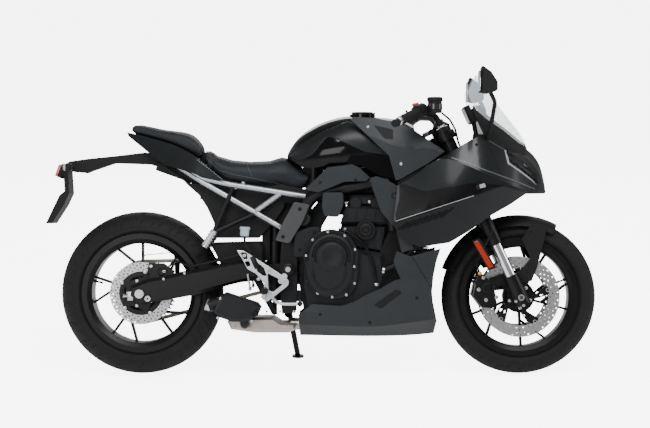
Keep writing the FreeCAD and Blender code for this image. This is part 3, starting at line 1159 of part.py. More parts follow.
def rear_lights():
    lamp = slab(TAIL_LAMP_SHARES, -TAIL_LAMP_HALF, TAIL_LAMP_HALF)
    place = spot(INDICATOR_PLACE_SHARE)
    stalk = cross_bar(place, INDICATOR_INNER_Y, INDICATOR_POD_Y, INDICATOR_STALK_RADIUS)
    pod = Part.makeCone(INDICATOR_RADIUS, INDICATOR_STALK_RADIUS, INDICATOR_LENGTH,
                        place + ACROSS * INDICATOR_POD_Y, ACROSS)
    return [lamp] + both(stalk.fuse(pod))


# Rear suspension

def swingarm():
    arm = bevelled_slab(SWINGARM_SHARES, SWINGARM_INNER_Y, SWINGARM_INNER_Y + SWINGARM_WALL, SWINGARM_BEVEL)
    arm = arm.cut(cross_bar(REAR_AXLE, 0, REAR_AXLE_HALF, AXLE_RADIUS))
    lug = slab(PIVOT_ARM_SHARES, PIVOT_ARM_INNER_Y, PIVOT_HALF)
    cross = slab(SWINGARM_CROSS_SHARES, -SWINGARM_INNER_Y - SWINGARM_WALL / 2, SWINGARM_INNER_Y + SWINGARM_WALL / 2)
    eye = cross_bar(spot(PIVOT_SHARE), PIVOT_ARM_INNER_Y, PIVOT_HALF, PIVOT_RADIUS)
    hole = cross_bar(spot(PIVOT_SHARE), -PIVOT_HALF, PIVOT_HALF, PIVOT_BOLT_RADIUS)
    return fused(both(arm) + both(lug) + both(eye) + [cross]).cut(hole)


def rear_axle():
    shaft = cross_bar(REAR_AXLE, -REAR_AXLE_HALF, REAR_AXLE_HALF, AXLE_RADIUS)
    arm_face = SWINGARM_INNER_Y + SWINGARM_WALL
    nut = cross_bar(REAR_AXLE, arm_face, arm_face + AXLE_NUT_WALL, AXLE_NUT_RADIUS)
    pivot = cross_bar(spot(PIVOT_SHARE), -FOOTREST_Y, FOOTREST_Y, PIVOT_BOLT_RADIUS)
    boss = ring_bar(spot(BOBBIN_SHARE), arm_face, arm_face + BOBBIN_DEPTH, BOBBIN_BOSS_RADIUS, BOBBIN_RADIUS)
    return [fused([shaft] + both(nut)), pivot] + both(boss)


def chain_guard(carrier):
    strip = band(GUARD_SHARES, GUARD_WALL, GUARD_INNER_Y, GUARD_OUTER_Y)
    brackets = [slab(places, GUARD_OUTER_Y - GUARD_WALL, GUARD_OUTER_Y).cut(carrier) for places in GUARD_BRACKET_SHARES]
    return fused([strip] + brackets)


def rear_shock(carrier):
    low = FreeCAD.Vector(SHOCK_X_SHARE * WHEELBASE, 0, SHOCK_BOTTOM_SHARE * HEIGHT)
    high = FreeCAD.Vector(SHOCK_X_SHARE * WHEELBASE, 0, SHOCK_TOP_SHARE * HEIGHT)
    spring_low = low + (high - low) * SPRING_SHARES[0]
    spring_high = low + (high - low) * SPRING_SHARES[1]
    link = slab(SHOCK_LINK_SHARES, SHOCK_LINK_Y, SHOCK_LINK_Y + SHOCK_LINK_WALL)
    pin = cross_bar(low, -SHOCK_LINK_Y - SHOCK_LINK_WALL, SHOCK_LINK_Y + SHOCK_LINK_WALL, SHOCK_ROD_RADIUS)
    pieces = [cylinder(low, spring_low, SHOCK_ROD_RADIUS), cylinder(spring_low, spring_high, SHOCK_SPRING_RADIUS),
              cylinder(spring_high, high, SHOCK_BODY_RADIUS), pin] + both(link)
    return fused(pieces).cut(carrier)


SPRING_SHARES = (0.12, 0.72)


def rear_brake():
    block = slab(REAR_CALIPER_OUTLINE_SHARES, -REAR_DISC_Y - REAR_CALIPER_DEPTH / 2,
                 -REAR_DISC_Y + REAR_CALIPER_DEPTH / 2)
    slot = ring_bar(REAR_AXLE, -REAR_DISC_Y - REAR_DISC_WALL / 2 - PAD_GAP,
                    -REAR_DISC_Y + REAR_DISC_WALL / 2 + PAD_GAP, REAR_DISC_RADIUS + RUN_GAP, AXLE_RADIUS)
    plate = slab(REAR_BRACKET_SHARES, BORE_CLEARANCE - SWINGARM_INNER_Y, -REAR_DISC_Y - REAR_CALIPER_DEPTH / 2)
    return [fused([block.cut(slot), plate])]


def rear_brake_hose():
    """A hose from the right footrest plate along the swingarm's top to the rear caliper."""
    return tube(route(REAR_HOSE_SHARES, REAR_HOSE_Y), HOSE_RADIUS, HOSE_BEND)


# Footrests and stand

def footrest(side):
    """Plate, peg and pedal of one side, for the left; the right is its mirror image."""
    plate = slab(FOOTREST_PLATE_SHARES, FOOTREST_Y, FOOTREST_Y + FOOTREST_WALL)
    frame_face = PIVOT_PLATE_Y + PIVOT_PLATE_WALL
    bosses = [cross_bar(spot(place), frame_face, FOOTREST_Y + FOOTREST_WALL, FOOTREST_BOSS_RADIUS)
              for place in FOOTREST_BOSS_SHARES]
    peg = cross_bar(spot(PEG_SHARE), FOOTREST_Y, FOOTREST_Y + FOOTREST_WALL + PEG_LENGTH, PEG_RADIUS)
    pedal_y = FOOTREST_Y + FOOTREST_WALL / 2
    pedal = tube(spots(PEDAL_SHARES, pedal_y), PEDAL_RADIUS, SUBFRAME_BEND)
    pad = cross_bar(spot(PEDAL_SHARES[-1]), pedal_y, pedal_y + PEDAL_PAD_LENGTH, PEDAL_RADIUS + PANEL_WALL)
    rest = fused([plate, peg, pedal, pad] + bosses)
    return rest if side > 0 else mirrored(rest)


def footrests():
    return [footrest(1), footrest(-1)]


def pillion_footrests(carrier):
    points = route(PILLION_BRACKET_SHARES, (BRACE_Y, PILLION_BRACKET_Y, BRACE_Y))
    arms = [cylinder(points[1], points[0], PILLION_BRACKET_RADIUS),
            cylinder(points[1], points[2], PILLION_BRACKET_RADIUS)]
    peg = cylinder(spot(PILLION_PEG_SHARES[0], PILLION_BRACKET_Y), spot(PILLION_PEG_SHARES[1], PILLION_BRACKET_Y),
                   PILLION_PEG_RADIUS)
    return both(fused(arms + [peg]).cut(carrier))


def stand_ground(x, y):
    """Height of the road below the leaning bike, in the upright bike's own frame."""
    lean = math.radians(LEAN)
    front = FRONT_CROWN * (1 - math.cos(lean))
    rear = REAR_CROWN * (1 - math.cos(lean))
    along = (x - REAR_AXLE.x) / WHEELBASE
    drop = rear + (front - rear) * along
    return (y * math.sin(lean) - drop) / math.cos(lean)


def stand_places():
    pivot = spot(STAND_PIVOT_SHARE, STAND_PIVOT_Y)
    foot_x = STAND_FOOT_X_SHARE * WHEELBASE
    foot = FreeCAD.Vector(foot_x, STAND_FOOT_Y, stand_ground(foot_x, STAND_FOOT_Y))
    return pivot, foot


def stand_axis():
    """The hinge's direction, and the angle from the stand's use to where it folds up."""
    pivot, foot = stand_places()
    down = unit(foot - pivot)
    folded = unit(FreeCAD.Vector(*STAND_FOLDED_SHARES))
    return unit(down.cross(folded)), math.degrees(down.getAngle(folded))


def stand_lug():
    pivot = stand_places()[0]
    axis = stand_axis()[0]
    face = pivot - axis * (STAND_EYE_HALF + BORE_CLEARANCE)
    end = pivot + axis * (STAND_EYE_HALF + BORE_CLEARANCE)
    return [cylinder(face - axis * STAND_LUG_LENGTH, face, STAND_EYE_RADIUS), cylinder(face, end, STAND_PIN_RADIUS),
            cylinder(end, end + axis * STAND_PIN_HEAD, STAND_RADIUS)]


def side_stand():
    pivot, foot = stand_places()
    lean = math.radians(LEAN)
    floor_up = FreeCAD.Vector(0, -math.sin(lean), math.cos(lean))
    pad = Part.makeCylinder(STAND_FOOT_RADIUS, STAND_FOOT_WALL, foot, floor_up)
    leg = cylinder(pivot, foot + floor_up * (STAND_FOOT_WALL / 2), STAND_RADIUS)
    axis = stand_axis()[0]
    reach = axis * STAND_EYE_HALF
    eye = cylinder(pivot - reach, pivot + reach, STAND_EYE_RADIUS)
    return fused([leg, pad, eye]).cut(cylinder(pivot - reach, pivot + reach, STAND_PIN_RADIUS + AXLE_CLEARANCE))


# Steering

def clamp_plate(top, radius):
    low = top - CLAMP_HEIGHT
    ears = [cylinder(on_fork(low, y), on_fork(top, y), radius) for y in (-FORK_HALF_SPACING, FORK_HALF_SPACING)]
    stem = cylinder(on_fork(low, 0, -FORK_OFFSET), on_fork(top, 0, -FORK_OFFSET), HEAD_TUBE_RADIUS)
    corners = [on_fork(low, -FORK_HALF_SPACING, radius / 2), on_fork(low, FORK_HALF_SPACING, radius / 2),
               on_fork(low, HEAD_TUBE_RADIUS, -FORK_OFFSET - HEAD_TUBE_RADIUS),
               on_fork(low, -HEAD_TUBE_RADIUS, -FORK_OFFSET - HEAD_TUBE_RADIUS)]
    web = Part.Face(Part.makePolygon(corners + corners[:1])).extrude(rake_direction() * CLAMP_HEIGHT)
    return [web, stem] + ears


def fork_clamps():
    radius = FORK_OUTER_RADIUS + CLAMP_WALL
    stem = cylinder(on_fork(LOWER_CLAMP_TOP, 0, -FORK_OFFSET), on_fork(UPPER_CLAMP_TOP, 0, -FORK_OFFSET), STEM_RADIUS)
    body = fused(clamp_plate(LOWER_CLAMP_TOP, radius) + clamp_plate(UPPER_CLAMP_TOP, radius) + [stem])
    for y in (-FORK_HALF_SPACING, FORK_HALF_SPACING):
        body = body.cut(cylinder(on_fork(FORK_OUTER_BOTTOM, y), on_fork(FORK_TOP, y), FORK_OUTER_RADIUS))
    return body


def fork_outers():
    leg = cylinder(on_fork(FORK_OUTER_BOTTOM, FORK_HALF_SPACING), on_fork(FORK_TOP, FORK_HALF_SPACING),
                   FORK_OUTER_RADIUS)
    return both(leg)


def fork_inners():
    leg = cylinder(on_fork(AXLE_CLAMP_TOP, FORK_HALF_SPACING), on_fork(FORK_OUTER_BOTTOM, FORK_HALF_SPACING),
                   FORK_INNER_RADIUS)
    return both(leg)


def fork_feet():
    """The cast feet that clamp the front axle."""
    clamp = cylinder(on_fork(AXLE_CLAMP_BOTTOM, FORK_HALF_SPACING), on_fork(AXLE_CLAMP_TOP, FORK_HALF_SPACING),
                     AXLE_CLAMP_RADIUS)
    return both(clamp.cut(cross_bar(FRONT_AXLE, 0, FRONT_AXLE_HALF + OVERRUN, AXLE_RADIUS)))


def front_axle():
    return ring_bar(FRONT_AXLE, -FRONT_AXLE_HALF, FRONT_AXLE_HALF, AXLE_RADIUS, FRONT_AXLE_BORE)


def bar_points():
    return route(BAR_ROUTE_SHARES, BAR_ROUTE_Y)


def handlebar():
    points = bar_points()
    foot = cylinder(on_fork(UPPER_CLAMP_TOP, FORK_HALF_SPACING), on_fork(FORK_TOP + PANEL_WALL, FORK_HALF_SPACING),
                    BAR_FOOT_RADIUS)
    bar = tube([on_fork(FORK_TOP, FORK_HALF_SPACING)] + points[1:], BAR_RADIUS, BAR_BEND)
    end = cylinder(points[-1], points[-1] + unit(points[-1] - points[-2]) * OVERRUN, BAR_WEIGHT_RADIUS)
    leg = cylinder(on_fork(FORK_OUTER_BOTTOM, FORK_HALF_SPACING), on_fork(FORK_TOP, FORK_HALF_SPACING),
                   FORK_OUTER_RADIUS)
    return fused([foot, bar, end]).cut(leg)


def handlebars():
    return both(handlebar())


def grip_span(y_from, y_to):
    points = bar_points()
    axis = unit(points[-1] - points[-2])
    return [points[-2] + axis * ((y - points[-2].y) / axis.y) for y in (y_from, y_to)]


def grips():
    start, end = grip_span(GRIP_INNER_Y, BAR_END_Y - PANEL_WALL)
    return both(cylinder(start, end, GRIP_RADIUS).cut(cylinder(start, end, BAR_RADIUS)))


def controls():
    switch_end = GRIP_INNER_Y - PANEL_WALL
    points = bar_points()
    along = unit(points[-1] - points[-2])
    end = grip_span(switch_end, switch_end)[0]
    start = end - along * SWITCH_LENGTH
    housing = cylinder(start, end, SWITCH_RADIUS)
    lever_start = start + FORWARD * SWITCH_RADIUS
    lever_end = lever_start + along * LEVER_LENGTH + FORWARD * LEVER_REACH * LEVER_SHARE
    lever = strut(lever_start, lever_end, LEVER_WALL, LEVER_WALL, LEVER_WALL, LEVER_WALL)
    left = fused([housing, lever]).cut(handlebar())
    place = spot(RESERVOIR_PLACE_SHARES, -RESERVOIR_Y)
    cup = Part.makeCylinder(RESERVOIR_RADIUS, RESERVOIR_HEIGHT, place, UP)
    right = mirrored(left)
    stalk = cylinder(mirrored(Part.Vertex(start)).Point, place + UP * RESERVOIR_RADIUS, LEVER_WALL)
    return [left, fused([right, cup, stalk]).cut(mirrored(handlebar()))]


LEVER_SHARE = 0.6


def front_fender(carrier):
    """An arched strip swept round the front tyre, held by a stay on each fork leg."""
    inner = FRONT_RADIUS + FENDER_GAP
    section = []
    for grow in (0.0, FENDER_WALL):
        edge = FRONT_AXLE + FreeCAD.Vector(inner - FENDER_DROP, FENDER_HALF + grow, 0)
        top = FRONT_AXLE + FORWARD * (inner + grow)
        section.append([edge, top, FreeCAD.Vector(edge.x, -edge.y, edge.z)])
    outline = Part.Wire([arc(*section[1]), line(section[1][2], section[0][2]), arc(*section[0][::-1]),
                         line(section[0][0], section[1][0])])
    face = Part.Face(outline)
    face.rotate(FRONT_AXLE, ACROSS, -FENDER_FRONT_ANGLE)
    arch = face.revolve(FRONT_AXLE, ACROSS, FENDER_FRONT_ANGLE - FENDER_REAR_ANGLE)
    stay_y = FENDER_HALF + FENDER_WALL
    stay = slab(FENDER_STAY_SHARES, stay_y, stay_y + FENDER_STAY_WALL)
    boss = cross_bar(spot(FENDER_BOSS_SHARE), stay_y, FORK_HALF_SPACING, FENDER_BOSS_RADIUS)
    side = stay.fuse(boss).cut(carrier)
    return [arch] + both(side)


def front_brake_hoses():
    """The right hose loops from the lever's cylinder; the left one leaves the lower clamp."""
    return [tube(route(RIGHT_HOSE_SHARES, RIGHT_HOSE_Y), HOSE_RADIUS, HOSE_BEND),
            tube(route(LEFT_HOSE_SHARES, LEFT_HOSE_Y), HOSE_RADIUS, HOSE_BEND)]


def front_calipers(carrier):
    block = slab(FRONT_CALIPER_OUTLINE_SHARES, FRONT_DISC_Y - FRONT_CALIPER_DEPTH / 2,
                 FRONT_DISC_Y + FRONT_CALIPER_DEPTH / 2)
    half = FRONT_DISC_WALL / 2 + PAD_GAP
    slot = ring_bar(FRONT_AXLE, FRONT_DISC_Y - half, FRONT_DISC_Y + half, FRONT_DISC_RADIUS + RUN_GAP, AXLE_RADIUS)
    face = FRONT_DISC_Y + FRONT_CALIPER_DEPTH / 2
    lug = slab(CALIPER_LUG_SHARES, face - CALIPER_LUG_WALL, face)
    return both(block.cut(slot).fuse(lug).removeSplitter().cut(carrier))


# The parked bike

def parked(shapes):
    """Lean the bike on its stand, with both tyres on the floor."""
    lean = math.radians(LEAN)
    tilt = math.degrees(math.atan((REAR_CROWN - FRONT_CROWN) * (1 - math.cos(lean)) / WHEELBASE))
    placed = []
    for shape in shapes:
        copy = shape.copy()
        copy.rotate(ORIGIN, FORWARD, -LEAN)
        copy.rotate(ORIGIN, ACROSS, tilt)
        placed.append(copy)
    return placed


def build():
    tank = fuel_tank()
    head = cylinder_head()
    case = crankcase()
    engine = Part.makeCompound(head + [case])
    cooler = radiator(engine)
    main_frame = frame(tank, cooler[0])
    seat = rider_seat()
    carrier_frame = subframe(main_frame, seat)
    nose = nose_cowl()
    panel = dash()
    tail = tail_cowl(carrier_frame)
    arms = swingarm()
    fork_legs = fork_inners()
    feet = fork_feet()
    fork_ends = Part.makeCompound(fork_legs + feet)
    nodes = {
        "frame": [main_frame],
        "subframe": [carrier_frame],
        "crankcase": [case],
        "cylinder_head": head,
        "engine_covers": engine_covers(),
        "airbox": [airbox(Part.makeCompound(head + [case, main_frame]))],
        "radiator": cooler,
        "exhaust_headers": [exhaust_headers(Part.makeCompound(head))],
        "silencer": [silencer()],
        "fuel_tank": [tank],
        "fuel_cap": [fuel_cap()],
        "tank_shrouds": tank_shrouds(tank),
        "side_covers": side_covers(Part.makeCompound([main_frame, tank])),
        "rider_seat": [seat],
        "pillion_seat": [pillion_seat(tail)],
        "fairing_left": [fairing_side()],
        "fairing_right": [mirrored(fairing_side())],
        "nose_cowl": [nose],
        "headlights": headlights(),
        "windscreen": [windscreen()],
        "screen_base": [screen_base(panel)],
        "dash": [panel],
        "fairing_stay": [fairing_stay(nose, panel)],
        "mirrors": both(mirror()),
        "belly_cowl": belly_cowl(case),
        "tail_cowl": [tail],
        "undertail": [undertail(carrier_frame)],
        "rear_fender": rear_fender(carrier_frame, arms),
        "rear_lights": rear_lights(),
        "swingarm": [arms],
        "rear_axle": rear_axle(),
        "chain": [chain()],
        "front_sprocket": [front_sprocket()],
        "chain_guard": [chain_guard(arms)],
        "rear_shock": [rear_shock(Part.makeCompound([main_frame, arms]))],
        "rear_brake": rear_brake(),
        "rear_brake_hose": [rear_brake_hose()],
        "footrests": footrests(),
        "pillion_footrests": pillion_footrests(carrier_frame),
        "side_stand": [side_stand()],
        "fork_clamps": [fork_clamps()],
        "fork_outers": fork_outers(),
        "fork_inners": fork_legs,
        "fork_feet": feet,
        "front_axle": [front_axle()],
        "handlebars": handlebars(),
        "grips": grips(),
        "controls": controls(),
        "front_fender": front_fender(fork_ends),
        "front_calipers": front_calipers(fork_ends),
        "front_brake_hoses": front_brake_hoses(),
        "front_rim": [front_rim()],
        "front_tyre": [tyre(FRONT_AXLE, FRONT_RADIUS, FRONT_WIDTH, FRONT_CROWN, FRONT_RIM_HALF)],
        "front_discs": front_discs(),
        "rear_rim": [rear_rim()],
        "rear_tyre": [tyre(REAR_AXLE, REAR_RADIUS, REAR_WIDTH, REAR_CROWN, REAR_RIM_HALF)],
        "rear_disc": [rear_disc()],
        "rear_sprocket": [rear_sprocket()],
    }
    return nodes


def main():
    os.makedirs("parts", exist_ok=True)
    nodes = {name: parked(shapes) for name, shapes in build().items()}
    whole = Part.makeCompound([shape for shapes in nodes.values() for shape in shapes])
    box = whole.optimalBoundingBox()
    shift = FreeCAD.Vector(-(box.XMin + box.XMax) / 2, -(box.YMin + box.YMax) / 2, -box.ZMin)
    for name, shapes in nodes.items():
        moved = [shape.translated(shift) for shape in shapes]
        Part.makeCompound(moved).exportStep("parts/" + name + ".step")
    return shift


SHIFT = main()
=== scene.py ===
import bpy
import cmath
import json
import math
from mathutils import Matrix, Vector
from mathutils.bvhtree import BVHTree


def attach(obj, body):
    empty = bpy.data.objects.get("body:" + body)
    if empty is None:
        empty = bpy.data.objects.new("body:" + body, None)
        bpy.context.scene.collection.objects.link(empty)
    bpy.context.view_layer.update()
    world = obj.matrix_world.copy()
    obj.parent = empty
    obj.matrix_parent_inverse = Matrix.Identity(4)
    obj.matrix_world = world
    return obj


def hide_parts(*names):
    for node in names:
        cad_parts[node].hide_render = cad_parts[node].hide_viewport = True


# Sport bike. Pieces are modelled on the upright bike in millimetres, then parked: leaned with it, in metres.
# X forward from the middle of the wheelbase, Y left, Z up from the road. Outlines and routes are X and Z.

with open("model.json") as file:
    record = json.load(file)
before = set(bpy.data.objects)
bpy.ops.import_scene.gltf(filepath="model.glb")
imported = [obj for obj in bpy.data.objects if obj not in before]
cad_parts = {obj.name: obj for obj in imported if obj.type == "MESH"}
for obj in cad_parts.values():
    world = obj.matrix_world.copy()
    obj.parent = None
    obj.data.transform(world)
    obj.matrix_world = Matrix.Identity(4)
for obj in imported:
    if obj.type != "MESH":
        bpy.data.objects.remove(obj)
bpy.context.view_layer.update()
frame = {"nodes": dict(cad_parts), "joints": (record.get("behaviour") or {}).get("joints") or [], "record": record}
NODES = frame["nodes"]

FRONT_CENTRE = (732.5, 299.9)
REAR_CENTRE = (-732.5, 314.9)
SIDES = ((-1, "right"), (1, "left"))


def parked():
    """The leaned bike's place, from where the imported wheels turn."""
    joints = {joint["name"]: joint for joint in frame["joints"]}
    front, back = (Vector((x / 1000, 0, z / 1000)) for x, z in (FRONT_CENTRE, REAR_CENTRE))
    upright = (front - back).normalized()
    middle = Vector((0, 1, 0))
    across = Vector(joints["rear_wheel_spin"]["axis"]).normalized()
    rear = Vector(joints["rear_wheel_spin"]["pos_m"])
    run = (Vector(joints["front_wheel_spin"]["pos_m"]) - rear).normalized()
    start = Matrix((upright, middle, upright.cross(middle))).transposed()
    end = Matrix((run, across, run.cross(across))).transposed()
    return Matrix.Translation(rear) @ (end @ start.inverted()).to_4x4() @ Matrix.Translation(-back)


PARKED = parked()
UPRIGHT = Matrix.Scale(1000.0, 4) @ PARKED.inverted()


# Camera, light and floor, in metres

CAMERA_TARGET = Vector((-0.0215, 0, 0.621))
CAMERA_DISTANCE = 7.75
SENSOR_WIDTH = 36.0
PHOTO_WIDTH = 650
METRES_A_PIXEL = 0.003907
LAMPS = (("key", (0.5, -2.2, 3.8), (0.0, -0.1, 0.5), (3.6, 0.9), 170.0),
         ("side", (-1.6, -4.6, 1.9), (0.0, 0.0, 0.5), (2.0, 1.6), 70.0),
         ("left", (0.2, 4.2, 2.6), (0.0, 0.0, 0.5), (4.0, 1.6), 90.0),
         ("front", (4.2, -0.6, 2.0), (0.4, 0.0, 0.5), (1.6, 1.6), 45.0),
         ("back", (-4.2, -0.4, 2.2), (-0.4, 0.0, 0.5), (1.6, 1.6), 45.0))
# Of each glow: its strength for the light that falls on the bike, and where the camera looks
WORLD_GLOW, FLOOR_GLOW = (0.34, 8.0), (0.30, 6.0)
WHITE = (1.0, 1.0, 1.0, 1)
PAPER_WHITE = (0.93, 0.93, 0.94, 1)
FLOOR_SIZE = 60.0
VIEW_REACH = 100.0
MATERIALS = {}


def add_camera():
    camera = bpy.data.objects.new("camera", bpy.data.cameras.new("camera"))
    bpy.context.scene.collection.objects.link(camera)
    turn = Matrix(((1, 0, 0), (0, 0, -1), (0, 1, 0))).to_4x4()
    camera.matrix_world = PARKED @ Matrix.Translation(CAMERA_TARGET - Vector((0, CAMERA_DISTANCE, 0))) @ turn
    camera.data.sensor_width = SENSOR_WIDTH
    camera.data.lens = SENSOR_WIDTH * CAMERA_DISTANCE / (PHOTO_WIDTH * METRES_A_PIXEL)
    camera.data.clip_end = VIEW_REACH
    bpy.context.scene.camera = camera


def add_lamp(name, place, target, size, power):
    light = bpy.data.objects.new(name, bpy.data.lights.new(name, "AREA"))
    bpy.context.scene.collection.objects.link(light)
    light.data.shape = "RECTANGLE"
    light.data.size, light.data.size_y = size
    light.data.energy = power
    light.location = place
    light.rotation_euler = (Vector(target) - Vector(place)).to_track_quat("-Z", "Y").to_euler()


def set_values(node, values):
    for socket, value in values.items():
        node.inputs[socket].default_value = value


def add_node(tree, kind, values, **wires):
    """A shader node with values set on its own sockets, and wires from other nodes' outputs."""
    node = tree.nodes.new("ShaderNode" + kind)
    set_values(node, values)
    for socket, output in wires.items():
        tree.links.new(output, node.inputs[socket])
    return node


def glow(tree, socket, on_bike, seen):
    """A strength that is low for the light that falls on the bike and high where the camera looks."""
    rays = add_node(tree, "LightPath", {}).outputs["Is Camera Ray"]
    strength = add_node(tree, "MapRange", {"To Min": on_bike, "To Max": seen}, Value=rays)
    tree.links.new(strength.outputs["Result"], socket)


def new_material(name):
    material = bpy.data.materials.new(name)
    material.use_nodes = True
    MATERIALS[name] = material
    return material.node_tree, material.node_tree.nodes["Principled BSDF"]


def add_studio():
    world = bpy.data.worlds.new("studio")
    bpy.context.scene.world = world
    world.use_nodes = True
    background = world.node_tree.nodes["Background"]
    set_values(background, {"Color": WHITE})
    glow(world.node_tree, background.inputs["Strength"], *WORLD_GLOW)
    bpy.ops.mesh.primitive_plane_add(size=FLOOR_SIZE)
    floor = bpy.context.object
    floor.name = "floor"
    tree, shader = new_material("floor_paper")
    set_values(shader, {"Base Color": PAPER_WHITE, "Roughness": 0.6, "Emission Color": WHITE})
    glow(tree, shader.inputs["Emission Strength"], *FLOOR_GLOW)
    floor.data.materials.append(MATERIALS["floor_paper"])
    for lamp in LAMPS:
        add_lamp(*lamp)


# Materials

PATTERNS = {}
TINT_SPREAD = 0.18
BUMP_DEPTH = 0.0006
GLASS_INDEX = 1.45
OWN_FINISHES = {"rear_sprocket": "sprocket_steel", "front_sprocket": "sprocket_steel", "chain": "chain_steel"}
EDGE_ANGLE = 32.0


def group(name, build):
    """A shader group from a scale to a 0 to 1 pattern on the piece's own place."""
    tree = bpy.data.node_groups.new(name, "ShaderNodeTree")
    tree.interface.new_socket("Scale", in_out="INPUT", socket_type="NodeSocketFloat")
    tree.interface.new_socket("Pattern", in_out="OUTPUT", socket_type="NodeSocketFloat")
    entry = tree.nodes.new("NodeGroupInput")
    exit_node = tree.nodes.new("NodeGroupOutput")
    place = tree.nodes.new("ShaderNodeTexCoord")
    tree.links.new(build(tree, place.outputs["Object"], entry.outputs["Scale"]), exit_node.inputs["Pattern"])
    return tree


def noise_node(tree, place, scale, detail, stretch=(1, 1, 1), roughness=0.5):
    mapped = add_node(tree, "Mapping", {"Scale": stretch}, Vector=place).outputs["Vector"]
    noise = add_node(tree, "TexNoise", {"Detail": detail, "Roughness": roughness}, Vector=mapped, Scale=scale)
    return noise.outputs["Fac"]


def fine_grain(tree, place, scale):
    return noise_node(tree, place, scale, 2.0)


def broad_mottle(tree, place, scale):
    return noise_node(tree, place, scale, 5.0, roughness=0.62)


def brushed_lines(tree, place, scale):
    return noise_node(tree, place, scale, 3.0, (1.0, 0.04, 1.0))


def hide_grain(tree, place, scale):
    cells = add_node(tree, "TexVoronoi", {}, Vector=place, Scale=scale)
    cells.feature = "DISTANCE_TO_EDGE"
    return cells.outputs["Distance"]


def add_patterns():
    for build in (fine_grain, broad_mottle, brushed_lines, hide_grain):
        PATTERNS[build.__name__] = group(build.__name__, build)


def pattern(tree, name, scale):
    node = tree.nodes.new("ShaderNodeGroup")
    node.node_tree = PATTERNS[name]
    set_values(node, {"Scale": scale})
    return node.outputs["Pattern"]


def finish(name, colour, metallic, roughness, bump=None, grain="fine_grain", mottle=14.0, brushed=None,
           coat=None, spread=0.12, shine=None):
    """A material whose colour and gloss vary, mottled or brushed, with a grain of a scale and strength as bump."""
    tree, shader = new_material(name)
    set_values(shader, {"Metallic": metallic})
    if shine:
        set_values(shader, {"Specular IOR Level": shine})
    if coat:
        set_values(shader, {"Coat Weight": coat[0], "Coat Roughness": coat[1]})
    uneven = pattern(tree, "brushed_lines", brushed) if brushed else pattern(tree, "broad_mottle", mottle)
    limits = {"To Min": max(roughness - spread / 2, 0.02), "To Max": min(roughness + spread, 1.0)}
    tree.links.new(add_node(tree, "MapRange", limits, Value=uneven).outputs["Result"], shader.inputs["Roughness"])
    tint = add_node(tree, "Mix", {}, Factor=uneven)
    tint.data_type = "RGBA"
    darker, lighter = ([min(c * (1 + share), 1.0) for c in colour] for share in (-TINT_SPREAD, TINT_SPREAD))
    set_values(tint, {"A": (*darker, 1), "B": (*lighter, 1)})
    tree.links.new(tint.outputs["Result"], shader.inputs["Base Color"])
    if bump:
        scale, strength = bump
        height = pattern(tree, grain, scale)
        rise = add_node(tree, "Bump", {"Strength": strength, "Distance": BUMP_DEPTH}, Height=height)
        tree.links.new(rise.outputs["Normal"], shader.inputs["Normal"])


def glass(name, colour, alpha, roughness=0.03):
    _, shader = new_material(name)
    set_values(shader, {"Base Color": (*colour, 1), "Roughness": roughness, "Alpha": alpha, "IOR": GLASS_INDEX})


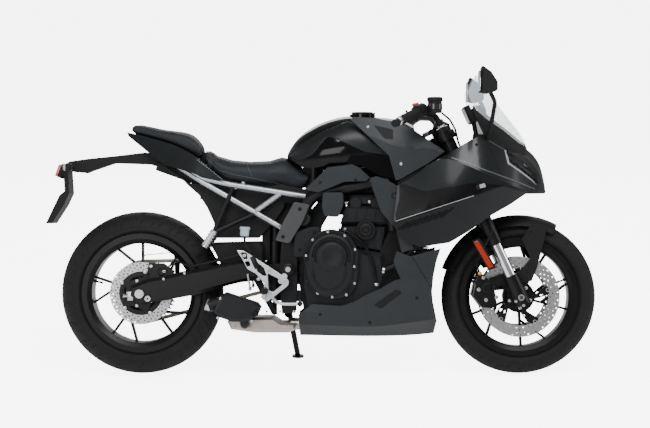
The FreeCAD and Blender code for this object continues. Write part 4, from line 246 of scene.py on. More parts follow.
def add_materials():
    finish("gloss_black", (0.002, 0.002, 0.0025), 0.0, 0.10, coat=(0.12, 0.03), spread=0.03, shine=0.12)
    finish("fairing_black", (0.0055, 0.0070, 0.0080), 0.30, 0.34, (2600.0, 0.04), coat=(0.20, 0.12), spread=0.05,
           shine=0.22)
    finish("cowl_grey", (0.0195, 0.0220, 0.0240), 0.25, 0.46, (2200.0, 0.05), spread=0.06, shine=0.25)
    finish("trim_black", (0.005, 0.005, 0.0055), 0.0, 0.58, (1500.0, 0.30), shine=0.2)
    finish("frame_black", (0.005, 0.005, 0.006), 0.2, 0.40, (700.0, 0.10), shine=0.25)
    finish("silver_paint", (0.36, 0.38, 0.40), 0.85, 0.32, (900.0, 0.08))
    finish("engine_grey", (0.009, 0.010, 0.011), 0.35, 0.46, (520.0, 0.25), shine=0.25)
    finish("black_alloy", (0.005, 0.005, 0.0055), 0.3, 0.32, (800.0, 0.08), shine=0.25)
    finish("alloy", (0.52, 0.54, 0.56), 0.95, 0.34, (700.0, 0.10), brushed=120.0)
    finish("disc_steel", (0.40, 0.40, 0.41), 1.0, 0.34, brushed=160.0)
    finish("steel", (0.46, 0.46, 0.47), 1.0, 0.28, brushed=200.0)
    finish("chrome", (0.80, 0.81, 0.83), 1.0, 0.06, spread=0.03)
    finish("exhaust_steel", (0.40, 0.36, 0.33), 0.95, 0.34, (500.0, 0.12), mottle=9.0)
    finish("exhaust_dark", (0.008, 0.009, 0.010), 0.3, 0.40, (900.0, 0.10), shine=0.25)
    finish("radiator_black", (0.006, 0.006, 0.006), 0.3, 0.55, (600.0, 0.10), shine=0.2)
    finish("seat_cover", (0.009, 0.011, 0.0135), 0.0, 0.58, (620.0, 0.35), "hide_grain", shine=0.28)
    finish("rubber", (0.006, 0.006, 0.0065), 0.0, 0.64, (900.0, 0.20), shine=0.2)
    finish("tyre", (0.0055, 0.0055, 0.006), 0.0, 0.66, (420.0, 0.16), mottle=30.0, shine=0.22)
    finish("axle_steel", (0.42, 0.42, 0.43), 1.0, 0.30, brushed=300.0)
    finish("sprocket_steel", (0.13, 0.13, 0.135), 0.9, 0.42, (700.0, 0.10), brushed=160.0)
    finish("chain_steel", (0.20, 0.185, 0.16), 0.9, 0.40, (1200.0, 0.20))
    finish("red_switch", (0.45, 0.015, 0.01), 0.0, 0.35)
    finish("mirror_glass", (0.7, 0.72, 0.74), 1.0, 0.03, spread=0.01)
    finish("tank_satin", (0.0075, 0.0090, 0.0100), 0.25, 0.36, (2600.0, 0.03), spread=0.05, shine=0.3)
    # A grey lighter than the black fairing, for painted highlights along the nose's creases
    finish("crease_highlight_grey", (0.055, 0.058, 0.062), 0.4, 0.40, spread=0.06)
    finish("pale_line", (0.26, 0.27, 0.28), 0.0, 0.45)
    finish("plate_grey", (0.045, 0.046, 0.048), 0.6, 0.46, (700.0, 0.15))
    finish("seam_thread", (0.03, 0.033, 0.038), 0.0, 0.6, (900.0, 0.3))
    finish("frosted", (0.34, 0.42, 0.46), 0.0, 0.30, spread=0.05)
    finish("smoked", (0.012, 0.012, 0.013), 0.0, 0.16, spread=0.04)
    finish("brass_fitting", (0.45, 0.28, 0.09), 1.0, 0.32, brushed=200.0)
    finish("dash_glass", (0.01, 0.011, 0.013), 0.0, 0.08, spread=0.02)
    # The headlight's own black, which also serves as painted shade in the fairing's recess and gills
    finish("lamp_and_shade_black", (0.002, 0.002, 0.002), 0.0, 0.30, spread=0.04, shine=0.15)
    glass("clear_screen", (0.62, 0.67, 0.71), 0.27)
    glass("lamp_lens", (0.75, 0.78, 0.80), 0.35)
    glass("red_lens", (0.45, 0.01, 0.01), 0.85, 0.10)
    glass("orange_lens", (0.30, 0.020, 0.005), 0.94, 0.16)


def dress_nodes():
    """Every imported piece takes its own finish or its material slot's, and smooth shading between its edges."""
    slots = {part["node"]: part["material_slot"] for part in frame["record"]["subparts"]} | OWN_FINISHES
    for name, node in NODES.items():
        node.data.materials.clear()
        node.data.materials.append(MATERIALS[slots[name]])
        hold(node)
        bpy.ops.object.shade_smooth_by_angle(angle=math.radians(EDGE_ANGLE))


# Working in millimetres on the upright bike until a piece is parked

SURFACES = {}
DIE_START = 20.0
PAST_THE_SIDE = 600.0
CORNER_SHARE = 0.45


def hold(piece):
    bpy.ops.object.select_all(action="DESELECT")
    piece.select_set(True)
    bpy.context.view_layer.objects.active = piece


def linked(name, data, material):
    piece = bpy.data.objects.new(name, data)
    bpy.context.scene.collection.objects.link(piece)
    piece.data.materials.append(MATERIALS[material])
    hold(piece)
    return piece


def node_copy(name, node, material):
    """The node's own skin as a new piece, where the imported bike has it."""
    mesh = NODES[node].data.copy()
    mesh.materials.clear()
    return linked(name, mesh, material)


def placed():
    bpy.ops.object.transform_apply(location=True, rotation=True, scale=True)


def meshed(piece):
    """A curve piece becomes a mesh, with its place in the mesh."""
    hold(piece)
    bpy.ops.object.convert(target="MESH")
    placed()
    return bpy.context.object


def with_modifier(piece, kind, **settings):
    hold(piece)
    modifier = piece.modifiers.new(kind.lower(), kind)
    for name, value in settings.items():
        setattr(modifier, name, value)
    bpy.ops.object.modifier_apply(modifier=modifier.name)
    return piece


def mended(piece, gap=0.01):
    """Doubles are merged and every face turned outwards."""
    hold(piece)
    bpy.ops.object.mode_set(mode="EDIT")
    bpy.ops.mesh.select_all(action="SELECT")
    bpy.ops.mesh.remove_doubles(threshold=gap)
    bpy.ops.mesh.normals_make_consistent(inside=False)
    bpy.ops.object.mode_set(mode="OBJECT")
    return piece


def park(name, pieces, body, stands_for=(), angle=EDGE_ANGLE):
    """The pieces are joined, lean with the bike and ride on their body."""
    hold(pieces[0])
    for piece in pieces:
        piece.select_set(True)
    if len(pieces) > 1:
        bpy.ops.object.join()
    piece = pieces[0]
    piece.name = name
    hold(piece)
    placed()
    piece.data.transform(PARKED @ Matrix.Scale(0.001, 4))
    bpy.ops.object.shade_smooth_by_angle(angle=math.radians(angle))
    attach(piece, body)
    if stands_for:
        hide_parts(*stands_for)
    return piece


def spot(centre, radius, angle):
    return centre[0] + radius * math.cos(angle), centre[1] + radius * math.sin(angle)


def row(start, pitch, count):
    return [(start[0] + pitch[0] * index, start[1] + pitch[1] * index) for index in range(count)]


def circle(centre, radius, count):
    return [spot(centre, radius, math.tau * step / count) for step in range(count)]


def softened(outline, radius, steps=3):
    """An outline whose corners are rounded off."""
    ring = []
    count = len(outline)
    for index, corner in enumerate(outline):
        corner = Vector(corner)
        before = Vector(outline[index - 1]) - corner
        after = Vector(outline[(index + 1) % count]) - corner
        reach = min(radius, before.length * CORNER_SHARE, after.length * CORNER_SHARE)
        start = corner + before.normalized() * reach
        end = corner + after.normalized() * reach
        for step in range(steps + 1):
            t = step / steps
            ring.append(tuple(start * (1 - t) ** 2 + corner * 2 * t * (1 - t) + end * t ** 2))
    return ring


def plate(name, rings, y, wall, material, bevel=0.8):
    """A plate across the bike: the first ring is its outline, the others its openings."""
    curve = bpy.data.curves.new(name, "CURVE")
    curve.dimensions = "2D"
    curve.fill_mode = "BOTH"
    curve.extrude = max(wall / 2 - bevel, 0.01)
    curve.bevel_depth = bevel
    curve.bevel_resolution = 1
    curve.offset = -bevel
    for ring in rings:
        spline = curve.splines.new("POLY")
        spline.points.add(len(ring) - 1)
        for point, (x, z) in zip(spline.points, ring):
            point.co = (x, z, 0, 1)
        spline.use_cyclic_u = True
    piece = linked(name, curve, material)
    piece.rotation_euler = (math.pi / 2, 0, 0)
    piece.location = (0, y, 0)
    return meshed(piece)


def tube(name, points, radius, material, steps=8):
    """A round tube along a smooth line through its guide points."""
    curve = bpy.data.curves.new(name, "CURVE")
    curve.dimensions = "3D"
    curve.bevel_depth = radius
    curve.bevel_resolution = 3
    curve.use_fill_caps = True
    spline = curve.splines.new("NURBS")
    spline.points.add(len(points) - 1)
    for point, place in zip(spline.points, points):
        point.co = (*place, 1)
    spline.order_u = 3
    spline.use_endpoint_u = True
    spline.resolution_u = steps
    return meshed(linked(name, curve, material))


def turned(name, centre, axis, material, steps=32, profile=None):
    """A piece spun round its axis, from places along it and their radius: its own profile, or one by its name."""
    profile = profile or PROFILES[name]
    axis = Vector(axis).normalized()
    side = axis.orthogonal().normalized()
    centre = Vector(centre)
    mesh = bpy.data.meshes.new(name)
    mesh.from_pydata([centre + axis * along + side * radius for along, radius in profile],
                     [(index, index + 1) for index in range(len(profile) - 1)], [])
    piece = linked(name, mesh, material)
    bpy.ops.object.mode_set(mode="EDIT")
    bpy.ops.mesh.select_all(action="SELECT")
    bpy.ops.mesh.spin(steps=steps, angle=math.tau, center=centre, axis=axis)
    bpy.ops.object.mode_set(mode="OBJECT")
    return mended(piece)


def facing(name, x, y, z, side, material, steps=32, profile=None):
    """A turned piece that faces the bike's side, y out from its middle."""
    return turned(name, (x, side * y, z), (0, side, 0), material, steps, profile)


def block(name, centre, size, material, bevel=2.0, turn=0.0, segments=2):
    """A cast block: bevelled, and turned about the bike's Y."""
    bpy.ops.mesh.primitive_cube_add(size=1.0, location=centre, rotation=(0, -math.radians(turn), 0), scale=size)
    piece = bpy.context.object
    piece.name = name
    piece.data.materials.clear()
    piece.data.materials.append(MATERIALS[material])
    placed()
    return with_modifier(piece, "BEVEL", width=bevel, segments=segments, limit_method="ANGLE",
                         angle_limit=math.radians(EDGE_ANGLE), harden_normals=False)


def bolt(place, axis, radius, height, material="steel", socket=True):
    """A button head with its socket, standing on place."""
    inside = radius * 0.45
    profile = [(0, radius), (height * 0.55, radius), (height * 0.9, radius * 0.78), (height, radius * 0.55)]
    profile += [(height, inside), (height * 0.4, inside), (height * 0.4, 0)] if socket else [(height, 0)]
    return turned("bolt", place, axis, material, 12, profile)


def side_bolts(places, y, side, radius, height, material="steel", socket=True):
    return [bolt((x, side * y, z), (0, side, 0), radius, height, material, socket) for x, z in places]


def ring_bolts(centre, ring, y, side, count, radius, height, start):
    places = [spot(centre, ring, start + math.tau * index / count) for index in range(count)]
    return side_bolts(places, y, side, radius, height)


def hex_nut(place, axis, radius, height):
    profile = [(0, radius), (height * 0.85, radius), (height, radius * 0.86), (height, radius * 0.5),
               (height * 1.25, radius * 0.46), (height * 1.25, 0)]
    return turned("hex_nut", place, axis, "steel", 6, profile)


def skin_of(meshes, turn=Matrix()):
    places, faces = [], []
    for mesh in meshes:
        start = len(places)
        places += [turn @ v.co for v in mesh.vertices]
        faces += [tuple(start + corner for corner in p.vertices) for p in mesh.polygons]
    return BVHTree.FromPolygons(places, faces)


def surface_of(*nodes):
    """The nodes' joined skin on the upright bike, for pieces laid on it."""
    if nodes not in SURFACES:
        SURFACES[nodes] = skin_of([NODES[node].data for node in nodes], UPRIGHT)
    return SURFACES[nodes]


def on_skin(skin, x, z, side):
    """Where a line from the side meets a skin, and the skin's outward way."""
    place, normal, _, _ = skin.ray_cast(Vector((x, side * PAST_THE_SIDE, z)), Vector((0, -side, 0)))
    if place is None:
        return None, None
    return place, -normal if normal.y * side < 0 else normal


def studs(skin, places, side, radius, height=2.2, material="trim_black"):
    """Button screws standing on a skin, seen from the side."""
    found = [on_skin(skin, x, z, side) for x, z in places]
    return [bolt(place - normal * 0.5, normal, radius, height, material) for place, normal in found if place]


def strip(name, skin, route, side, width, lift, material, rise=0.6, step=6.0):
    """A narrow band that follows a route over a skin."""
    places = []
    for (x0, z0), (x1, z1) in zip(route, route[1:]):
        count = max(1, int(math.hypot(x1 - x0, z1 - z0) / step))
        places += [(x0 + (x1 - x0) * i / count, z0 + (z1 - z0) * i / count) for i in range(count)]
    places.append(route[-1])
    rows = []
    for index, (x, z) in enumerate(places):
        way = Vector(places[min(index + 1, len(places) - 1)]) - Vector(places[max(index - 1, 0)])
        way.normalize()
        over = Vector((-way.y, way.x)) * (width / 2)
        pair = [on_skin(skin, x + over.x * share, z + over.y * share, side) for share in (-1, 1)]
        if all(point is not None for point, _ in pair):
            rows.append([point + normal * lift for point, normal in pair])
    mesh = bpy.data.meshes.new(name)
    faces = [(2 * i, 2 * i + 1, 2 * i + 3, 2 * i + 2) for i in range(len(rows) - 1)
             if (rows[i + 1][0] - rows[i][0]).length < step * 4]
    mesh.from_pydata([point for pair in rows for point in pair], [], faces)
    piece = mended(linked(name, mesh, material))
    if piece.data.polygons and sum(p.normal.y for p in piece.data.polygons) * side < 0:
        piece.data.flip_normals()
    return with_modifier(piece, "SOLIDIFY", thickness=rise, offset=-1.0)


def overlay(name, node, outline, corner, side, lift, material):
    """The node's own skin inside an outline with rounded corners, raised by lift, as a second panel."""
    piece = node_copy(name, node, material)
    piece.data.transform(UPRIGHT)
    mended(piece)
    ring = softened(outline, corner) if corner else outline
    middle, reach = side * (DIE_START + PAST_THE_SIDE) / 2, PAST_THE_SIDE - DIE_START
    cutter = plate(name + "_die", [ring], middle, reach, material, 0.01)
    with_modifier(piece, "BOOLEAN", operation="INTERSECT", object=cutter, solver="EXACT")
    bpy.data.objects.remove(cutter)
    return with_modifier(piece, "DISPLACE", strength=lift, mid_level=0.0)


# Turned parts: places along the axis and their radius

PROFILES = {
    "front_bobbin": [(0, 0), (0, 8), (7.2, 8), (7.6, 5), (6.4, 4.4), (6.4, 0)],
    "rear_bobbin": [(0, 0), (0, 7.5), (7.4, 7.5), (7.8, 4.8), (6.6, 4.2), (6.6, 0)],
    "valve_stem": [(-2, 0), (-2, 6), (5, 5.5), (9, 3.6), (22, 3.4), (22, 4.4), (32, 4.4), (33, 3.4), (33, 0)],
    "grommet": [(0, 0), (0, 13), (2.2, 13), (3.0, 11), (2.2, 8), (0.8, 7), (0.8, 0)],
    "clutch_drum": [(0, 0), (0, 90), (6, 90), (14, 86), (17, 80), (17, 74), (13, 71), (13, 66), (20, 63), (27, 60),
                    (33, 55), (36, 48), (36.5, 30), (35.5, 28), (35.5, 0)],
    "arc_rib": [(0, 98), (0, 104), (5, 103), (5, 99), (0, 98)],
    "drain_plug": [(0, 17), (6, 17), (8, 15), (8, 9), (5, 8), (5, 0)],
    "generator_middle": [(-2, 0), (-2, 58), (2, 58), (4, 55), (4, 30), (6, 28), (7, 24), (7, 0)],
    "cam_cap": [(0, 0), (0, 24), (6, 24), (9, 21), (9, 0)],
    "hose_clamp": [(-4, 12), (-4, 15.5), (4, 15.5), (4, 12)],
    "horn": [(0, 0), (0, 39), (5, 39), (8, 36), (8, 30), (5, 28), (8, 24), (10, 16), (8, 12), (12, 8), (12, 0)],
    "round_mount": [(0, 0), (0, 26), (12, 26), (15, 23), (15, 14), (11, 12), (11, 8), (16, 7), (16, 0)],
    "plate_boss": [(0, 0), (0, 11), (74, 11), (74, 0)],
    "toe_pad": [(0, 0), (0, 8), (3, 9.5), (12, 8.6), (14, 9.5), (22, 8.6), (24, 9.5), (33, 9.5), (34, 0)],
    "gear_link": [(0, 0), (0, 4), (52, 4), (52, 0)],
    "silencer_tip": [(-6, 24), (8, 24), (13, 26), (15, 25), (15, 21), (4, 19), (-6, 19)],
    "silencer_bore": [(0, 0), (0, 20), (1, 20), (1, 0)],
    "silencer_bolt": [(-1, 16), (3, 16), (4, 14), (4, 8), (2, 7), (2, 0)],
    "adjuster_bolt": [(0, 0), (0, 5), (14, 5), (14, 8), (20, 8), (20, 0)],
    "pivot_cap": [(0, 22), (5, 21), (7, 17), (7, 9), (3, 8), (3, 0)],
    "rear_reservoir": [(0, 0), (0, 15), (3, 17), (24, 18), (26, 20), (34, 20), (36, 17), (36, 0)],
    "front_piston_cap": [(0, 19), (4, 18), (5, 15), (3, 13), (3, 0)],
    "banjo": [(-6, 0), (-6, 8), (6, 8), (6, 5), (9, 5), (9, 0)],
    "rear_piston_cap": [(-2, 16), (3, 15), (4, 12), (2, 11), (2, 0)],
    "ignition_lock": [(-4, 0), (-4, 17), (4, 17), (6, 15), (6, 8), (5, 7), (5, 0)],
    "bar_end": [(131, 0), (131, 15.5), (134, 16.5), (146, 16.5), (150, 13), (150, 6), (147, 5), (147, 0)],
    "cup_band": [(0, 27.2), (0, 28.6), (20, 28.6), (20, 27.2)],
    "cup_cap": [(-6, 27.0), (-6, 30), (5, 30), (8, 28), (8, 24), (6.5, 22), (6.5, 0)],
    "fork_cap": [(-2, 26), (3, 26), (5, 22), (5, 17), (11, 16), (13, 13), (13, 0)],
    "key_barrel": [(-4, 20), (8, 20), (11, 17), (11, 8), (8, 7), (8, 0)],
    "stem_nut": [(-4, 18), (12, 18), (14, 15), (14, 8), (6, 7), (6, 0)],
    "mirror_foot": [(0, 0), (0, 21), (4, 20), (8, 14), (14, 11), (14, 0)],
    "indicator_stem": [(0, 0), (0, 13), (4, 12), (14, 9), (14, 0)],
}


# Wheels

TREAD_REPEATS = 22
TREAD_STEPS = 36
FRONT_SHAPE = {"radius": 299.9, "crown": 62.0, "half": 60.0, "bead": 45.7, "cut": 3.6}
REAR_SHAPE = {"radius": 314.9, "crown": 91.0, "half": 90.0, "bead": 70.7, "cut": 4.2}
FLANGE = 231.0
RIM_SEAT = 217.0
# The tread's edge as a share of the half width, then shares of the sidewall: its widest place and its foot
TREAD_EDGE = 0.94
WIDEST_UP = 0.6
FOOT_OUT, FOOT_UP = 0.6, 0.25
SIDE_STEPS, CROWN_STEPS = 9, 56
SIDEWALL_RIBS = {2: 0.7, 3: 0.7, 6: -0.6}
# Of each groove: where it starts and ends across, where it starts around and how far it sweeps, and half its width
GROOVES = ((0.06, 0.62, 0.05, 0.62, 0.060), (0.50, 0.93, 0.30, 0.34, 0.050), (0.70, 0.95, 0.86, 0.16, 0.040))
GROOVE_EDGE = 0.018
# Of each row of a disc's holes: its radius and how far it lags behind the first
FRONT_HOLES = ((119, 0.0), (128, 0.5), (138, 0.1), (148, 0.6))
REAR_HOLES = ((91, 0.0), (99, 0.5), (107, 0.1), (114, 0.6))
HOLE_RADIUS = 3.0
FRONT_DISC_Y = 65.5
REAR_DISC_Y = 86.0
CARRIER_WALL = 6.0
CARRIER_ARMS = 5
FRONT_SWEEP, REAR_SWEEP = 0.24, 0.12
VALVE_RING = 192
WEIGHT_RING = 204.5
WEIGHTS, WEIGHT_LAG, WEIGHT_PITCH = 4, 2.2, 0.052


def arc_through(first, middle, last, count):
    """Places on the arc through three points, which is less than half a circle."""
    a, b, c = (complex(*place) for place in (first, middle, last))
    turn = (c - a) / (b - a)
    centre = a + (b - a) * (turn - abs(turn) ** 2) / (2j * turn.imag)
    radius, start = cmath.polar(a - centre)
    sweep = cmath.phase((c - centre) / (a - centre))
    return [spot((centre.real, centre.imag), radius, start + sweep * i / count) for i in range(count + 1)]


def tyre_section(shape):
    """The right half's places from bead to crown: distance from the middle and radius."""
    radius, crown, half, bead = shape["radius"], shape["crown"], shape["half"], shape["bead"]
    edge_y = half * TREAD_EDGE
    edge_r = radius - crown + math.sqrt(crown ** 2 - edge_y ** 2)
    wide_r = FLANGE + (edge_r - FLANGE) * WIDEST_UP
    foot = (bead + (half - bead) * FOOT_OUT, FLANGE + (edge_r - FLANGE) * FOOT_UP)
    side = arc_through(foot, (half, wide_r), (edge_y, edge_r), SIDE_STEPS)
    tread = arc_through((edge_y, edge_r), (0.0, radius), (-edge_y, edge_r), CROWN_STEPS)
    side = [(y + SIDEWALL_RIBS.get(i, 0.0), r) for i, (y, r) in enumerate(side)]
    left = [(bead, RIM_SEAT), (bead, FLANGE + 0.4), (bead + 1.8, FLANGE + 1.2)] + side[:-1]
    return left + tread + [(-y, r) for y, r in reversed(left)], len(left), len(tread)


def groove(around, across):
    """The share of its full depth to which the tread is cut: around in repeats, across from -1 to 1."""
    phase = (around + (0.5 if across >= 0 else 0.0)) % 1.0
    depth = 0.0
    for start, end, first, sweep, wide in GROOVES:
        if not start < abs(across) < end:
            continue
        share = (abs(across) - start) / (end - start)
        gap = abs((phase - first - sweep * share ** 0.8 + 0.5) % 1.0 - 0.5)
        taper = min(1.0, share / 0.18, (1 - share) / 0.18)
        depth = max(depth, min(1.0, max(0.0, (wide * taper - gap) / GROOVE_EDGE)))
    return depth


def tyre(name, centre, shape, body, node):
    section, first, count = tyre_section(shape)
    around = TREAD_REPEATS * TREAD_STEPS
    vertices = []
    for step in range(around):
        for index, (y, r) in enumerate(section):
            if first <= index < first + count:
                r -= shape["cut"] * groove(step / TREAD_STEPS, 1 - 2 * (index - first) / (count - 1))
            x, z = spot(centre, r, math.tau * step / around)
            vertices.append((x, y, z))
    rows = len(section)
    faces = []
    for step in range(around):
        here, there = step * rows, (step + 1) % around * rows
        faces += [(here + i, here + (i + 1) % rows, there + (i + 1) % rows, there + i) for i in range(rows)]
    mesh = bpy.data.meshes.new(name)
    mesh.from_pydata(vertices, [], faces)
    park(name, [mended(linked(name, mesh, "tyre"))], body, (node,), 50.0)


def disc_ring(centre, y, outer, inner, wall, rows, repeats):
    rings = [circle(centre, outer, 96), circle(centre, inner, 96)]
    for repeat in range(repeats):
        for radius, lag in rows:
            rings.append(circle(spot(centre, radius, math.tau * (repeat + lag) / repeats), HOLE_RADIUS, 8))
    return plate("disc", rings, y, wall, "disc_steel", 0.4)


def disc_carrier(centre, y, reach, hub, lean):
    """A black star: arms that sweep out to the ring, each with an opening, round a wide hole for the hub."""
    outline, openings = [], [circle(centre, 19.0, 32)]
    for arm in range(CARRIER_ARMS):
        base = math.tau * arm / CARRIER_ARMS
        for angle, radius in ((-0.30, hub), (-0.13, hub + 10), (lean - 0.17, reach - 6), (lean - 0.10, reach),
                              (lean + 0.10, reach), (lean + 0.17, reach - 6), (0.13, hub + 10), (0.30, hub)):
            outline.append(spot(centre, radius, base + angle))
        openings.append(circle(spot(centre, (hub + reach) / 2, base + lean * 0.5), 6.0, 12))
    return plate("carrier", [softened(outline, 7.0)] + openings, y, CARRIER_WALL, "black_alloy")


def bobbins(name, centre, ring, y, side, lag):
    places = [spot(centre, ring, math.tau * arm / CARRIER_ARMS + lag) for arm in range(CARRIER_ARMS)]
    return [facing(name, x, y, z, side, "steel", 16) for x, z in places]


def front_brake_discs():
    parts = []
    for side, _ in SIDES:
        parts += [disc_ring(FRONT_CENTRE, side * FRONT_DISC_Y, 155.0, 111.0, 4.5, FRONT_HOLES, 30),
                  disc_carrier(FRONT_CENTRE, side * FRONT_DISC_Y, 116.0, 50.0, FRONT_SWEEP)]
        parts += bobbins("front_bobbin", FRONT_CENTRE, 112.5, FRONT_DISC_Y - 3.6, side, FRONT_SWEEP)
        parts += ring_bolts(FRONT_CENTRE, 42, FRONT_DISC_Y + 3.0, side, CARRIER_ARMS, 6.5, 4.0, -0.3)
    park("front_brake_discs", parts, "front_wheel", ("front_discs",))


def rear_brake_disc():
    ring = [circle(REAR_CENTRE, 82.0, 64), circle(REAR_CENTRE, 66.0, 64)]
    parts = [disc_ring(REAR_CENTRE, -REAR_DISC_Y, 120.0, 84.0, 5.0, REAR_HOLES, 26),
             disc_carrier(REAR_CENTRE, -REAR_DISC_Y, 89.0, 60.0, REAR_SWEEP),
             plate("carrier_ring", ring, 2.0 - REAR_DISC_Y, CARRIER_WALL, "black_alloy")]
    parts += bobbins("rear_bobbin", REAR_CENTRE, 84.5, REAR_DISC_Y - 3.4, -1, REAR_SWEEP)
    parts += ring_bolts(REAR_CENTRE, 50, REAR_DISC_Y + 3.0, -1, CARRIER_ARMS, 6.5, 4.0, REAR_SWEEP + 0.5)
    park("rear_brake_disc", parts, "rear_wheel", ("rear_disc",))


def valve_and_weights(name, centre, half, angle, body):
    """The rim's valve, and its row of balance weights on the right."""
    x, z = spot(centre, VALVE_RING, angle)
    parts = [turned("valve_stem", (x, -half * 0.3, z), (-math.cos(angle), 0, -math.sin(angle)), "rubber", 16)]
    for index in range(WEIGHTS):
        turn = angle + WEIGHT_LAG + index * WEIGHT_PITCH
        x, z = spot(centre, WEIGHT_RING, turn)
        parts.append(block("weight", (x, 3.5 - half, z), (3.0, 9.0, 9.6), "steel", 0.8, math.degrees(turn)))
    park(name, parts, body)


def add_wheels():
    tyre("front_tyre_tread", FRONT_CENTRE, FRONT_SHAPE, "front_wheel", "front_tyre")
    tyre("rear_tyre_tread", REAR_CENTRE, REAR_SHAPE, "rear_wheel", "rear_tyre")
    front_brake_discs()
    rear_brake_disc()
    valve_and_weights("front_valve_and_weights", FRONT_CENTRE, 46.0, 0.35, "front_wheel")
    valve_and_weights("rear_valve_and_weights", REAR_CENTRE, 71.0, 2.9, "rear_wheel")


# Bodywork: lines, panels, painted shade and screws laid on the imported skins

PINSTRIPE = ((248, 594), (340, 624), (440, 657), (545, 691))
SHROUD_PANEL = ((240, 944), (304, 944), (430, 866), (372, 830), (240, 892))
SHROUD_INSET = ((166, 961), (238, 945), (268, 903), (206, 910))
TANK_SATIN = ((-158, 863), (-119, 887), (-41, 934), (68, 981), (100, 961), (225, 848), (131, 860), (37, 903),
              (-10, 922), (-72, 848), (-119, 828), (-158, 840))
BELLY_CREASE = ((307, 465), (352, 392), (397, 316))
BELLY_SLOT = ((166, 273), (248, 332), (272, 320), (193, 258))
TAIL_SEAM = ((-640, 868), (-560, 838), (-486, 800), (-430, 762))
STITCH_START, STITCH_END = Vector((-512, 830)), Vector((-414, 752))
STITCHES = 14
STITCH_SHARE = 0.035
# Where the fairing's recess lies. No hollow is cut there: a black patch raised on the skin is painted shade
PAINTED_RECESS_SHADE = ((262, 742), (357, 707), (533, 738), (662, 730), (506, 676), (389, 633), (252, 590), (246, 618),
                  (262, 676))
# The gills: no openings are cut. Black strips raised on the fairing are painted shade where the vents' openings lie
GILLS = 8
GILL_START = (296, 592)
GILL_PITCH = (24.5, 7.6)
GILL_SLOPE = (-50, -38)
FAIRING_SCREWS = ((269, 799), (451, 842), (557, 886), (300, 560))
SHROUD_SCREWS = ((143, 955), (269, 812))
COVER_SCREWS = ((-40, 742), (96, 752))
BELLY_SCREWS = ((262, 322), (-40, 236), (150, 205), (330, 300))
TAIL_SCREWS = ((-690, 860), (-560, 800))


def fairing_trim(side, sign):
    fairing = "fairing_" + sign
    skin = surface_of(fairing)
    parts = [strip("line", skin, PINSTRIPE, side, 2.6, 0.9, "pale_line")]
    # Each gill is a black strip: painted shade for one vent's opening
    for x, z in row(GILL_START, GILL_PITCH, GILLS):
        route = ((x, z), (x + GILL_SLOPE[0], z + GILL_SLOPE[1]))
        parts.append(strip("gill_shade_strip", skin, route, side, 7.5, 1.1, "lamp_and_shade_black", 1.0))
    # A raised black patch: painted shade that stands for the fairing's recess
    parts.append(overlay("recess_shade_patch", fairing, PAINTED_RECESS_SHADE, 6.0, side, 0.5, "lamp_and_shade_black"))
    park("fairing_trim_" + sign, parts + studs(skin, FAIRING_SCREWS, side, 6.0), "frame")


def tank_and_shroud_panels(side, sign):
    satin = overlay("tank_satin", "fuel_tank", TANK_SATIN, 14.0, side, 0.9, "tank_satin")
    park("tank_panel_" + sign, [satin], "frame")
    parts = [overlay("shroud_upper", "tank_shrouds", SHROUD_PANEL, 8.0, side, 1.6, "cowl_grey"),
             overlay("shroud_inset", "tank_shrouds", SHROUD_INSET, 6.0, side, 0.8, "trim_black")]
    parts += studs(surface_of("tank_shrouds"), SHROUD_SCREWS, side, 5.5, material="steel")
    park("shroud_panel_" + sign, parts, "frame")


def belly_and_tail_trim(side, sign):
    belly = surface_of("belly_cowl")
    parts = [strip("crease", belly, BELLY_CREASE, side, 3.0, 0.8, "trim_black"),
             overlay("slot", "belly_cowl", BELLY_SLOT, 6.0, side, 0.9, "trim_black")]
    park("belly_trim_" + sign, parts + studs(belly, BELLY_SCREWS, side, 7.0, 2.6), "frame")
    tail = surface_of("tail_cowl")
    parts = [strip("seam", tail, TAIL_SEAM, side, 2.4, 0.7, "trim_black")]
    for index in range(STITCHES):
        route = [tuple(STITCH_START.lerp(STITCH_END, share))
                 for share in (index / STITCHES, index / STITCHES + STITCH_SHARE)]
        parts.append(strip("stitch", tail, route, side, 2.0, 0.9, "pale_line"))
    park("tail_trim_" + sign, parts + studs(tail, TAIL_SCREWS, side, 5.0), "frame")
    parts = studs(surface_of("side_covers"), COVER_SCREWS, side, 6.5, 2.4)
    parts.append(facing("grommet", 244, 172.6, 691, side, "trim_black"))
    park("side_cover_screws_" + sign, parts, "frame")


def add_bodywork():
    for side, sign in SIDES:
        fairing_trim(side, sign)
        tank_and_shroud_panels(side, sign)
        belly_and_tail_trim(side, sign)


# Seats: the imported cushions, remeshed and blown up in metres, then seamed in millimetres

SEAT_CAP = 0.006
SEAT_SHRINK = 0.004
SEAT_VOXEL = 0.005
WELD_GAP = 0.00005
CLOTH_PRESSURE = 4.0
CLOTH_FRAMES = 20
RIDER_CROWN = ((-478, 872), (-440, 842), (-385, 826), (-311, 819), (-236, 823), (-193, 838), (-170, 834),
               (-120, 806), (-79, 782))
RIDER_SEAM = ((-478, 836), (-430, 790), (-362, 771), (-287, 757), (-200, 737), (-117, 716))
RIDER_CHANNEL = ((-330, 862), (-318, 800), (-300, 762))
PILLION_SEAM = ((-770, 912), (-700, 898), (-610, 872), (-530, 842), (-470, 812))


